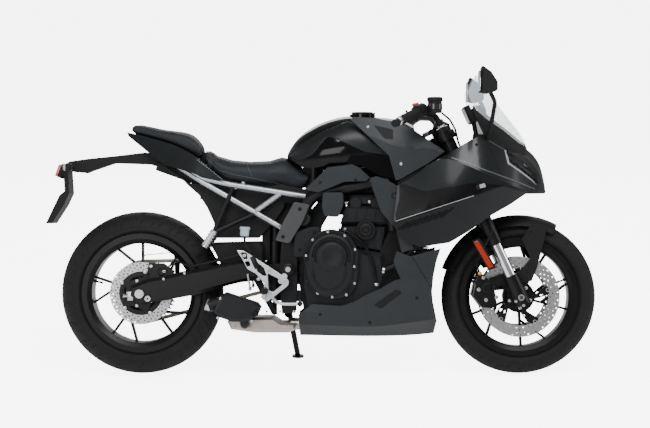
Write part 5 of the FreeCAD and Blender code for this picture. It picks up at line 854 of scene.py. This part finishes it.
def carve_crown(cushion, crown):
    """The top line follows the crown's places along the bike, and less so towards the cushion's foot."""
    cushion.data.transform(UPRIGHT)
    skin = skin_of([cushion.data])
    foot = min(v.co.z for v in cushion.data.vertices)
    for vertex in cushion.data.vertices:
        x = vertex.co.x
        top, _, _, _ = skin.ray_cast(Vector((x, 0.0, 1200.0)), Vector((0, 0, -1)))
        if top is None or not crown[0][0] <= x <= crown[-1][0]:
            continue
        index = max(i for i in range(len(crown) - 1) if crown[i][0] <= x)
        (x0, z0), (x1, z1) = crown[index], crown[index + 1]
        wanted = z0 + (z1 - z0) * (x - x0) / (x1 - x0)
        bottom, _, _, _ = skin.ray_cast(Vector((x, 0.0, foot - 100.0)), Vector((0, 0, 1)))
        share = (vertex.co.z - bottom.z) / max(top.z - bottom.z, 1.0)
        vertex.co.z += (wanted - top.z) * min(max(share, 0.0), 1.0)
    cushion.data.transform(UPRIGHT.inverted())


def blown_up(cushion):
    """Cloth under pressure, no point of which moves past the cap."""
    start = [v.co.copy() for v in cushion.data.vertices]
    cloth = cushion.modifiers.new("cover", "CLOTH")
    cloth.settings.quality = 4
    cloth.settings.use_pressure = True
    cloth.settings.uniform_pressure_force = CLOTH_PRESSURE
    cloth.settings.effector_weights.gravity = 0.0
    cloth.point_cache.frame_start = 1
    cloth.point_cache.frame_end = CLOTH_FRAMES
    for step in range(1, CLOTH_FRAMES + 1):
        bpy.context.scene.frame_set(step)
    hold(cushion)
    bpy.ops.object.modifier_apply(modifier="cover")
    bpy.context.scene.frame_set(1)
    for vertex, place in zip(cushion.data.vertices, start):
        move = vertex.co - place
        if move.length > SEAT_CAP:
            vertex.co = place + move.normalized() * SEAT_CAP


def seat(name, node, seams, crown=()):
    """The node's solid, slightly smaller, swollen by its cloth, with a thread along each seam."""
    cushion = mended(node_copy(name, node, "seat_cover"), WELD_GAP)
    with_modifier(cushion, "DISPLACE", strength=-SEAT_SHRINK, mid_level=0.0)
    with_modifier(cushion, "REMESH", mode="VOXEL", voxel_size=SEAT_VOXEL)
    with_modifier(cushion, "SMOOTH", factor=0.5, iterations=6)
    if crown:
        carve_crown(cushion, crown)
    blown_up(cushion)
    with_modifier(cushion, "SUBSURF", levels=1)
    cushion.data.transform(UPRIGHT)
    skin = skin_of([cushion.data])
    threads = [strip("seam", skin, route, side, width, 0.9, "seam_thread", 1.6, 4.0)
               for side, _ in SIDES for route, width in seams]
    cushion = park(name, [cushion], "frame", (node,), 60.0)
    park(name + "_seams", threads, "frame")


def add_seats():
    seat("rider_cushion", "rider_seat", ((RIDER_SEAM, 2.6), (RIDER_CHANNEL, 2.0)), RIDER_CROWN)
    seat("pillion_cushion", "pillion_seat", ((PILLION_SEAM, 2.4),))


# Engine, exhaust and running gear. A FACE is how far a part's outer side lies from the bike's middle, and so is
# each Y of a table that serves both sides.

CLUTCH_CENTRE = (2.0, 457.0)
CLUTCH_FACE = 138.0
CLUTCH_BOLTS = ((92, 356), (60, 312), (6, 304), (-50, 318), (-86, 366), (-88, 420))
COVER_OUTLINE = ((-92, 500), (-60, 548), (0, 566), (62, 548), (96, 506), (108, 440), (104, 370), (84, 318),
                 (40, 296), (-20, 300), (-70, 322), (-96, 380))
TEETH, TOOTH_START, TOOTH_PITCH = 11, (-54, 352), (9.5, -2.6)
GENERATOR_CENTRE = (87.0, 388.0)
GENERATOR_FACE = 178.0
SPROCKET_COVER_FACE = 153.6
SPROCKET_COVER_BOLTS = ((-142, 350), (-140, 462), (-84, 470), (-30, 462), (-28, 350), (-84, 342))
RIBS, RIB_START, RIB_PITCH = 7, (34, 526), (27, 0)
HEAD_RIBS, HEAD_RIB_START, HEAD_RIB_PITCH = 5, (62, 616), (36, 0)
HEAD_FACE = 113.5
HEAD_BOLTS = ((60, 662), (100, 664), (150, 668), (198, 672))
CAM_CAPS = ((96, 664), (176, 662))
UPPER_PIPE = ((210, 96, 640), (262, 122, 632), (306, 140, 585), (322, 150, 540))
LOWER_PIPE = ((330, 152, 500), (290, 150, 452), (238, 148, 420), (196, 144, 404))
OIL_LINE = ((60, -132, 556), (116, -146, 520), (150, -150, 470), (168, -148, 420), (176, -144, 360))
FRAME_PLATE = ((-139, 668), (-80, 656), (-107, 590), (-158, 508), (-213, 520), (-182, 590))
SIDE_BRACKET = ((-143, 477), (-135, 551), (-80, 570), (-41, 572), (-41, 520), (-72, 457), (-139, 457))
PIVOT_BOLTS = ((-182, 534), (-118, 640))
BRACKET_BOLTS = ((-118, 484), (-62, 552))
PIVOT_PLATE_Y, BRACKET_Y = 168.0, 150.0
KNEE_PLATE = ((-30, 703), (48, 703), (50, 660), (30, 609), (-24, 612), (-34, 650))
FOOT_PLATE = ((-361, 484), (-330, 480), (-268, 441), (-213, 406), (-158, 367), (-162, 348), (-221, 301),
              (-244, 285), (-268, 301), (-252, 355), (-287, 394), (-318, 410), (-338, 449))
FOOT_OPENINGS = (((-344, 474), (-322, 474), (-318, 450), (-330, 446)),
                 ((-330, 438), (-312, 442), (-306, 424), (-318, 418)),
                 ((-286, 440), (-256, 416), (-244, 384), (-258, 384), (-280, 402)),
                 ((-240, 394), (-196, 372), (-184, 352), (-222, 322), (-236, 330)))
FOOT_BOLTS = ((-330, 462), (-276, 372), (-176, 362), (-234, 406), (-246, 302))
PLATE_BOSSES = ((-177, 383), (-190, 365))
FOOT_PLATE_Y, FOOT_PLATE_FACE = 166.5, 170.8
PEDAL = [(x, FOOT_PLATE_Y, z) for x, z in ((-234, 319), (-216, 290), (-190, 277), (-150, 277), (-117, 278))]
PEG_START, PEG_END = [(0, 0), (0, 14), (8, 14), (9, 10)], [(90, 12), (92.5, 11), (92.5, 0)]
TREAD_START, TREAD_END = [(0, 0), (0, 15)], [(72, 15), (74, 13), (74, 0)]
UP, DOWN = (0, 0, 1), (0, 0, -1)
# Of each row of rivets in the exhaust's box: its first place and the rivets' radius
RIVET_ROWS = (((-370, 186), 6.0), ((-350, 246), 4.5))
RIVETS, RIVET_PITCH = 5, (52, 0)
EXHAUST_BOX_FACE = 108
SILENCER_FACE = 211.5
SILENCER_WAY = (-0.94, 0, 0.34)
SILENCER_BOLTS = ((-420, 300), (-430, 226), (-300, 214))
RESERVOIR_FOOT = (-330, -150, 536)
RESERVOIR_PIPE = (RESERVOIR_FOOT, (-330, -152, 510), (-318, -156, 486), (-300, -158, 462))
SWINGARM_FACE = 151.5
SWINGARM_BOLTS = ((-640, 372), (-560, 394))
FRONT_CALIPER_FACE, REAR_CALIPER_FACE = 96.5, 123
FRONT_CALIPER_BOLTS = ((590, 376), (640, 300), (600, 290), (572, 330))
REAR_CALIPER_BOLTS = ((-690, 420), (-640, 400), (-614, 380))
REFLECTOR = ((548, 514), (566, 520), (626, 418), (608, 412))
REFLECTOR_HOLDER = ((542, 520), (572, 528), (636, 414), (606, 404))
FORK_FOOT_FACE = 132.0
PINCH_BOLTS = ((712, 286), (742, 270))
# Of each dark box, a part between the frame's beams that is also painted shade in the gaps there: its middle, its
# size and its turn
INNER_BOXES_AND_SHADE = (("battery_box", (4, 0, 650), (112, 96, 66), 0.0), ("tank_mount", (-74, 0, 762), (80, 90, 86), -12.0),
               ("loom_cover", (134, 0, 790), (84, 110, 46), 0.0),
               ("connector_box", (254, 0, 756), (72, 120, 38), -20.0),
               ("seat_pan", (-280, 0, 718), (400, 150, 68), -11.0),
               ("tail_pan", (-585, 0, 775), (190, 110, 34), -20.0),
               ("cooler_tray", (352, 0, 478), (84, 190, 8), 0.0), ("cooler_cap", (352, 0, 512), (84, 190, 8), 0.0),
               ("mud_flap", (-250, 0, 510), (32, 110, 140), 0.0), ("seat_bridge", (-486, 0, 838), (44, 120, 44), 0.0),
               ("tool_box", (-172, 0, 628), (84, 84, 110), 16.0))
COOLER_FINS, COOLER_START, COOLER_PITCH = 7, (352, 484), (0, 4.6)
RADIATOR_FINS = 34
RADIATOR_TOP, RADIATOR_FOOT = Vector((404, 0, 716)), Vector((321, 0, 488))


def on_side(places, side):
    return [(x, side * y, z) for x, y, z in places]


def ribbed(first, last, start, pitch, count, low, high, edge, width):
    """A profile with sloped ribs between its first and its last places."""
    profile = list(first)
    for rib in range(count):
        foot = start + rib * pitch
        profile += [(foot, low), (foot + edge, high), (foot + width - edge, high), (foot + width, low)]
    return profile + list(last)


def clutch_side():
    """The right cover: a cast skirt, the round clutch housing, its capped middle and the teeth below."""
    x, z = CLUTCH_CENTRE
    back, rim = -(CLUTCH_FACE + 8.0), CLUTCH_FACE + 31.0
    parts = [plate("skirt", [softened(COVER_OUTLINE, 26.0, 5)], back, 46.0, "engine_grey", 4.0),
             facing("clutch_drum", x, CLUTCH_FACE + 28.0, z, -1, "engine_grey", 72),
             facing("arc_rib", x, CLUTCH_FACE + 30.0, z - 2.0, -1, "engine_grey", 72),
             block("split", (x + 22, -(CLUTCH_FACE + 63.6), z + 40), (3.0, 3.0, 34.0), "trim_black", 0.8, -30.0),
             facing("drain_plug", x + 64, rim, 336, -1, "black_alloy", 24)]
    parts += [block("tooth", (x, -(rim + 0.5), z), (5.0, 5.0, 17.0), "engine_grey", 1.2, 18.0)
              for x, z in row(TOOTH_START, TOOTH_PITCH, TEETH)]
    parts += ring_bolts(CLUTCH_CENTRE, 96.0, rim, -1, 9, 6.0, 5.4, 0.3)
    park("clutch_cover", parts + side_bolts(CLUTCH_BOLTS, rim, -1, 6.0, 5.5), "frame")


def generator_side():
    """The left covers get their bolts and a stepped middle."""
    x, z = GENERATOR_CENTRE
    parts = [facing("generator_middle", x, GENERATOR_FACE + 10.0, z, 1, "engine_grey", 64)]
    parts += ring_bolts(GENERATOR_CENTRE, 76.0, GENERATOR_FACE, 1, 10, 6.0, 5.4, 0.2)
    parts += side_bolts(SPROCKET_COVER_BOLTS, SPROCKET_COVER_FACE, 1, 6.0, 5.0)
    park("generator_cover_trim", parts, "frame")


def cylinders():
    """Ribs on barrel and head, the cam cover's bolts and caps, coolant pipes, the horn and the oil line."""
    parts = []
    for side, _ in SIDES:
        parts += [block("rib", (x, side * 113.0, z), (5.0, 6.0, 80.0), "engine_grey", 1.6)
                  for x, z in row(RIB_START, RIB_PITCH, RIBS)]
        parts += [block("head_rib", (x, side * 127.0, z), (5.0, 6.0, 52.0), "engine_grey", 1.6, -6.0)
                  for x, z in row(HEAD_RIB_START, HEAD_RIB_PITCH, HEAD_RIBS)]
        parts += side_bolts(HEAD_BOLTS, HEAD_FACE, side, 7.0, 6.0)
        parts += [facing("cam_cap", x, 112, z, side, "engine_grey", 40) for x, z in CAM_CAPS]
        parts += [tube("coolant_pipe", on_side(UPPER_PIPE, side), 13.0, "black_alloy"),
                  tube("coolant_pipe", on_side(LOWER_PIPE, side), 11.0, "black_alloy")]
        for x, y, z in (UPPER_PIPE[0], LOWER_PIPE[-1]):
            parts.append(turned("hose_clamp", (x + 6, side * y, z), (1, 0, -0.15), "steel", 24))
    parts += [facing("horn", 135, 128, 559, -1, "trim_black", 48), tube("oil_line", OIL_LINE, 5.0, "black_alloy"),
              hex_nut((58, -132, 558), (-0.8, 0.2, 0.5), 9.0, 9.0), hex_nut((176, -144, 356), DOWN, 9.0, 9.0)]
    park("cylinder_details", parts, "frame")


def frame_plates():
    """Satin cast plates over the frame's pivot and below the tank, with their bolts."""
    for side, sign in SIDES:
        parts = [plate("pivot_plate", [softened(FRAME_PLATE, 8.0)], side * PIVOT_PLATE_Y, 8.0, "plate_grey", 1.6),
                 plate("knee_plate", [softened(KNEE_PLATE, 10.0)], side * BRACKET_Y, 8.0, "cowl_grey", 1.6),
                 plate("side_bracket", [softened(SIDE_BRACKET, 8.0)], side * BRACKET_Y, 9.0, "engine_grey", 2.0)]
        parts += side_bolts(PIVOT_BOLTS, PIVOT_PLATE_Y + 4.0, side, 7.0, 5.0, "trim_black")
        parts += side_bolts(BRACKET_BOLTS, BRACKET_Y + 4.5, side, 6.5, 5.0, "trim_black")
        parts.append(facing("round_mount", -103, 136, 602, side, "engine_grey", 40))
        park("frame_plates_" + sign, parts, "frame")


def foot_controls():
    """The forged plates with their openings, the pegs and their tread, and the pedals."""
    parts, treads = [], []
    peg = ribbed(PEG_START, PEG_END, start=12, pitch=11, count=7, low=9.5, high=11.5, edge=1, width=7)
    tread = ribbed(TREAD_START, TREAD_END, start=6, pitch=13, count=5, low=12.5, high=15.5, edge=1, width=8)
    rings = [softened(FOOT_PLATE, 7.0)] + [softened(ring, 5.0) for ring in FOOT_OPENINGS]
    for side, _ in SIDES:
        parts.append(plate("foot_plate", rings, side * FOOT_PLATE_Y, 9.0, "alloy", 2.2))
        parts += side_bolts(FOOT_BOLTS, FOOT_PLATE_FACE, side, 7.0, 5.0)
        parts += [facing("plate_boss", x, 93.0, z, side, "alloy", 24) for x, z in PLATE_BOSSES]
        parts += [tube("pedal_arm", on_side(PEDAL, side), 6.5, "alloy"),
                  facing("toe_pad", *PEDAL[-1], side, "rubber", 24),
                  facing("peg", -252, 170, 328, side, "black_alloy", 32, peg),
                  turned("gear_link", (-318, side * 166, 392), (0.2, 0, -1), "steel", 16),
                  hex_nut((-308, side * 166, 342), DOWN, 7.0, 12.0)]
        treads.append(turned("peg_tread", (-446, side * 130, 556), (-0.54, 0, -0.84), "alloy", 32, tread))
    park("foot_controls", parts, "frame", ("footrests",))
    park("pillion_peg_treads", treads, "frame")


def exhaust_details():
    """The box's rivets, the silencer's end ring and its bolts."""
    parts = []
    for start, radius in RIVET_ROWS:
        rivets = row(start, RIVET_PITCH, RIVETS)
        parts += side_bolts(rivets, EXHAUST_BOX_FACE, -1, radius, 3.0, "exhaust_steel", False)
    parts += [turned("silencer_tip", (-462, -160, 272), SILENCER_WAY, "steel", 40),
              turned("silencer_bore", (-458, -160, 270), SILENCER_WAY, "trim_black"),
              facing("silencer_bolt", -292, 212, 246, -1, "black_alloy", 24)]
    parts += side_bolts(SILENCER_BOLTS, SILENCER_FACE, -1, 5.0, 3.5)
    park("exhaust_details", parts, "frame")


def swingarm_details():
    """Chain adjusters, the pivot's caps, and the rear brake's reservoir, pipe and master cylinder."""
    parts = []
    for side, _ in SIDES:
        parts += [block("adjuster", (-768, side * 138, 306), (22.0, 20.0, 34.0), "alloy", 2.5),
                  turned("adjuster_bolt", (-776, side * 138, 306), (-1, 0, 0.05), "steel", 6)]
        parts += side_bolts(SWINGARM_BOLTS, SWINGARM_FACE, side, 5.5, 4.0)
        parts.append(facing("pivot_cap", -163, 153, 409, side, "black_alloy"))
    parts += [turned("rear_reservoir", RESERVOIR_FOOT, (0.05, 0, 1), "frosted"),
              tube("reservoir_pipe", RESERVOIR_PIPE, 4.5, "rubber"),
              block("master", (-290, -162, 436), (22.0, 20.0, 52.0), "black_alloy", 3.0, 24.0)]
    park("swingarm_details", parts, "frame")


def brake_details():
    """The calipers' bolts, piston caps, bridges and hose fittings."""
    parts = []
    for side, _ in SIDES:
        parts += side_bolts(FRONT_CALIPER_BOLTS, FRONT_CALIPER_FACE, side, 8.0, 6.0)
        parts += [facing("front_piston_cap", 604, FRONT_CALIPER_FACE, 336, side, "black_alloy", 40),
                  turned("banjo", (577, side * 86, 390), (0, side, 0.3), "brass_fitting", 24),
                  block("bridge", (566, side * 66, 352), (14.0, 46.0, 20.0), "black_alloy", 3.0, 30.0)]
    park("front_caliper_details", parts, "steering")
    parts = side_bolts(REAR_CALIPER_BOLTS, REAR_CALIPER_FACE, -1, 7.0, 5.0)
    parts.append(facing("rear_piston_cap", -650, REAR_CALIPER_FACE, 398, -1, "black_alloy"))
    park("rear_caliper_details", parts, "frame")


def fork_details():
    """The orange side reflectors in their holders, the feet's pinch bolts and the ignition lock."""
    parts = []
    for side, _ in SIDES:
        parts += [plate("reflector", [softened(REFLECTOR, 5.0)], side * 134.0, 7.0, "orange_lens", 1.5),
                  plate("holder", [softened(REFLECTOR_HOLDER, 5.0)], side * 130.0, 6.0, "trim_black", 1.0)]
        parts += side_bolts(PINCH_BOLTS, FORK_FOOT_FACE, side, 6.0, 5.0)
    parts += [block("ignition_housing", (432, 0, 964), (56, 84, 40), "trim_black", 6.0, -24.0),
              turned("ignition_lock", (424, 0, 982), (-0.42, 0, 0.9), "alloy")]
    park("fork_details", parts, "steering")


def inner_boxes_and_shade():
    """Dark boxes between the frame's beams: battery, loom, tank mount, seat pan, oil cooler and flap, which also fill
    the gaps there as painted shade.
    """
    # The dark boxes are partly real parts and partly painted shade between the frame's beams
    parts = [block(name, place, size, "trim_black", 4.0, turn) for name, place, size, turn in INNER_BOXES_AND_SHADE]
    parts += [block("cooler_fin", (x, 0, z), (62.0, 176.0, 1.4), "radiator_black", 0.3)
              for x, z in row(COOLER_START, COOLER_PITCH, COOLER_FINS)]
    park("inner_boxes_and_shade", parts, "frame")


def radiator_core():
    fins = []
    for index in range(RADIATOR_FINS):
        place = RADIATOR_TOP.lerp(RADIATOR_FOOT, (index + 0.5) / RADIATOR_FINS)
        fins.append(block("fin", place, (20.0, 262.0, 1.6), "radiator_black", 0.3, -20.0))
    park("radiator_fins", fins, "frame")


# Cockpit, lamps and mirrors

BAR_INNER = (331.0, 240.0, 1008.0)
BAR_OUTER = (247.6, 368.0, 962.8)
GRIP_START = [(0, 11.5), (0, 22), (4, 22.5), (6, 20), (8, 17.5)]
GRIP_END = [(126, 17.8), (130, 17.0), (130, 11.5)]
FORK_WAY = (-0.4226, 0, 0.9063)
CUP_PLACE = Vector((395.5, -222, 1018))
DASH_TURN = 24.4
DASH_TICKS = 14
DASH_FIRST_TICK, DASH_TICK_PITCH = 150, 9.5
# The ticks' arc: the X and Z of its middle, and its reach along X, Y and Z
TICK_MIDDLE, TICK_ARC = (527.2, 990), (-6.56, 59.52, 30)
MIRROR_MIDDLE = (322, 1118)
LENS_DEPTH = 14.0
BOWL_DEPTH = 13.0
# Routes of the grey strips along the nose's creases: painted highlights
NOSE_CREASE_HIGHLIGHT = ((459, 836), (600, 783), (700, 748), (787, 716))
NOSE_UPPER_HIGHLIGHT = ((600, 905), (680, 860), (760, 800))
LAMP_SHAPE = ((667, 870), (703, 851), (750, 814), (788, 773), (798, 731), (765, 756), (722, 786), (678, 814))
LAMP_BOWLS = ((706, 822, 21), (752, 786, 17))
FRONT_INDICATOR = (566, 727)
FENDER_SCREWS = ((776, 556), (744, 520), (760, 400), (742, 372))


def grips():
    parts = []
    profile = ribbed(GRIP_START, GRIP_END, start=10, pitch=5.2, count=22, low=16.4, high=17.6, edge=1.2, width=4.8)
    for side, _ in SIDES:
        inner, outer = (Vector(place) for place in on_side((BAR_INNER, BAR_OUTER), side))
        along = (outer - inner).normalized()
        parts += [turned("grip", inner + along * 4, along, "rubber", 40, profile),
                  turned("bar_end", inner + along * 4, along, "steel")]
    park("grip_covers", parts, "steering", ("grips",))


def controls_trim():
    """Switches, the reservoir's band and cap, fork caps, the key's barrel and the stem's nut."""
    parts = [block("stop_switch", (322, -216, 1037), (26, 18, 12), "red_switch", 3.0, 12.0),
             block("starter", (300, -214, 1000), (9, 16, 12), "trim_black", 2.5),
             block("dip_switch", (306, 224, 1034), (9, 22, 9), "trim_black", 2.5),
             block("indicator_switch", (305, 228, 1018), (10, 26, 8), "trim_black", 2.5),
             turned("cup_band", CUP_PLACE, UP, "smoked", 48),
             turned("cup_cap", CUP_PLACE + Vector((0, 0, 38)), UP, "trim_black", 48)]
    parts += [bolt((x, CUP_PLACE.y, 1062), UP, 3.5, 2.0) for x in (380, 411)]
    for side, _ in SIDES:
        parts += [turned("fork_cap", (430, side * 105, 950), FORK_WAY, "steel", 40),
                  bolt((452, side * 132, 925), (0.2, side, 0), 6.0, 5.0)]
    parts += [turned("key_barrel", (402, 0, 944), FORK_WAY, "black_alloy"),
              turned("stem_nut", (378, 0, 928), FORK_WAY, "steel", 6)]
    park("controls_trim", parts, "steering")


def dash_face():
    """The dash's glass, with an arc of plain ticks."""
    parts = [block("dash_glass", (529.0, 0, 1003.6), (3.0, 146.0, 58.0), "dash_glass", 1.2, DASH_TURN)]
    for index in range(DASH_TICKS):
        angle = math.radians(DASH_FIRST_TICK - index * DASH_TICK_PITCH)
        rise, across = math.sin(angle), math.cos(angle)
        place = (TICK_MIDDLE[0] + TICK_ARC[0] * rise, TICK_ARC[1] * across, TICK_MIDDLE[1] + TICK_ARC[2] * rise)
        parts.append(block("tick", place, (0.8, 1.6, 6.0), "pale_line", 0.3, DASH_TURN))
    park("dash_display", parts, "frame")


def mirror_glasses():
    parts = []
    for side, _ in SIDES:
        y, z = side * MIRROR_MIDDLE[0], MIRROR_MIDDLE[1]
        parts += [block("mirror_glass", (556.4, y, z), (2.4, 110.0, 74.0), "mirror_glass", 1.0),
                  block("mirror_rim", (558.2, y, z), (2.4, 118.0, 82.0), "trim_black", 1.0),
                  turned("mirror_foot", (598, side * 134, 892), (0.1, side * 0.9, 0.5), "trim_black")]
    park("mirror_glasses", parts, "frame")


def lamp_inside(side, sign):
    """The headlight's black back, with a chrome bowl and a projector for each beam."""
    skin = surface_of("headlights")
    parts = [overlay("lamp_back", "headlights", LAMP_SHAPE, 0.0, side, -LENS_DEPTH, "lamp_and_shade_black")]
    for x, z, radius in LAMP_BOWLS:
        place, normal = on_skin(skin, x, z, side)
        if place:
            bowl = [(-8, 0), (-8, radius * 0.4), (-3, radius * 0.8), (5, radius), (7, radius), (7, radius + 2),
                    (-8, radius + 2)]
            projector = [(-7, 0), (-7, radius * 0.55), (0, radius * 0.55), (4, radius * 0.4), (6, 0)]
            parts += [turned("bowl", place - normal * BOWL_DEPTH, normal, "chrome", 40, bowl),
                      turned("projector", place - normal * BOWL_DEPTH, normal, "lamp_lens", 32, projector)]
    park("lamp_inside_" + sign, parts, "frame")


def nose_trim(side, sign):
    """Raised grey strips along the nose's two creases, their grey a painted highlight, and the front indicator."""
    fairing = "fairing_" + sign
    # Raised strips along the creases, whose grey is a painted highlight
    parts = [strip("crease", surface_of("nose_cowl", fairing), NOSE_CREASE_HIGHLIGHT, side, 5.0, 1.6, "crease_highlight_grey", 1.2),
             strip("crease", surface_of("nose_cowl"), NOSE_UPPER_HIGHLIGHT, side, 3.0, 1.0, "crease_highlight_grey", 0.8)]
    place, normal = on_skin(surface_of(fairing), *FRONT_INDICATOR, side)
    if place:
        lens = place + normal * 21 + Vector((7, 0, 2))
        parts += [turned("indicator_stem", place - normal, normal, "rubber", 24),
                  block("indicator_head", place + normal * 20, (34.0, 16.0, 20.0), "trim_black", 5.0, 15.0, 3),
                  block("indicator_lens", lens, (24.0, 15.5, 17.0), "lamp_lens", 4.0, 15.0, 3)]
    park("nose_trim_" + sign, parts, "frame")


def rear_lamps():
    parts = [block("tail_lens", (-1052, 0, 788), (28.0, 74.0, 48.0), "red_lens", 5.0, -20.0, 3),
             block("tail_shell", (-1044, 0, 788), (22.0, 82.0, 56.0), "trim_black", 4.0, -20.0)]
    for side, _ in SIDES:
        arm = [(-1010, side * y, 801) for y in (32, 70, 104)]
        parts += [tube("indicator_arm", arm, 8.0, "rubber", 4),
                  block("indicator_shell", (-1006, side * 130, 801), (24.0, 58.0, 30.0), "trim_black", 7.0, 0.0, 3),
                  block("indicator_lens", (-1014, side * 130, 801), (24.0, 54.0, 27.0), "lamp_lens", 6.0, 0.0, 3)]
    park("rear_lamp_set", parts, "frame", ("rear_lights",))


def fender_screws():
    skin = surface_of("front_fender")
    parts = [screw for side, _ in SIDES for screw in studs(skin, FENDER_SCREWS, side, 6.0, 3.0)]
    park("fender_screws", parts, "steering")


def add_machinery():
    clutch_side()
    generator_side()
    cylinders()
    frame_plates()
    foot_controls()
    exhaust_details()
    swingarm_details()
    brake_details()
    fork_details()
    inner_boxes_and_shade()
    radiator_core()


def add_cockpit():
    grips()
    controls_trim()
    dash_face()
    mirror_glasses()
    for side, sign in SIDES:
        lamp_inside(side, sign)
        nose_trim(side, sign)
    rear_lamps()
    fender_screws()


def main():
    add_camera()
    add_studio()
    add_patterns()
    add_materials()
    dress_nodes()
    add_wheels()
    add_bodywork()
    add_seats()
    add_machinery()
    add_cockpit()


main()
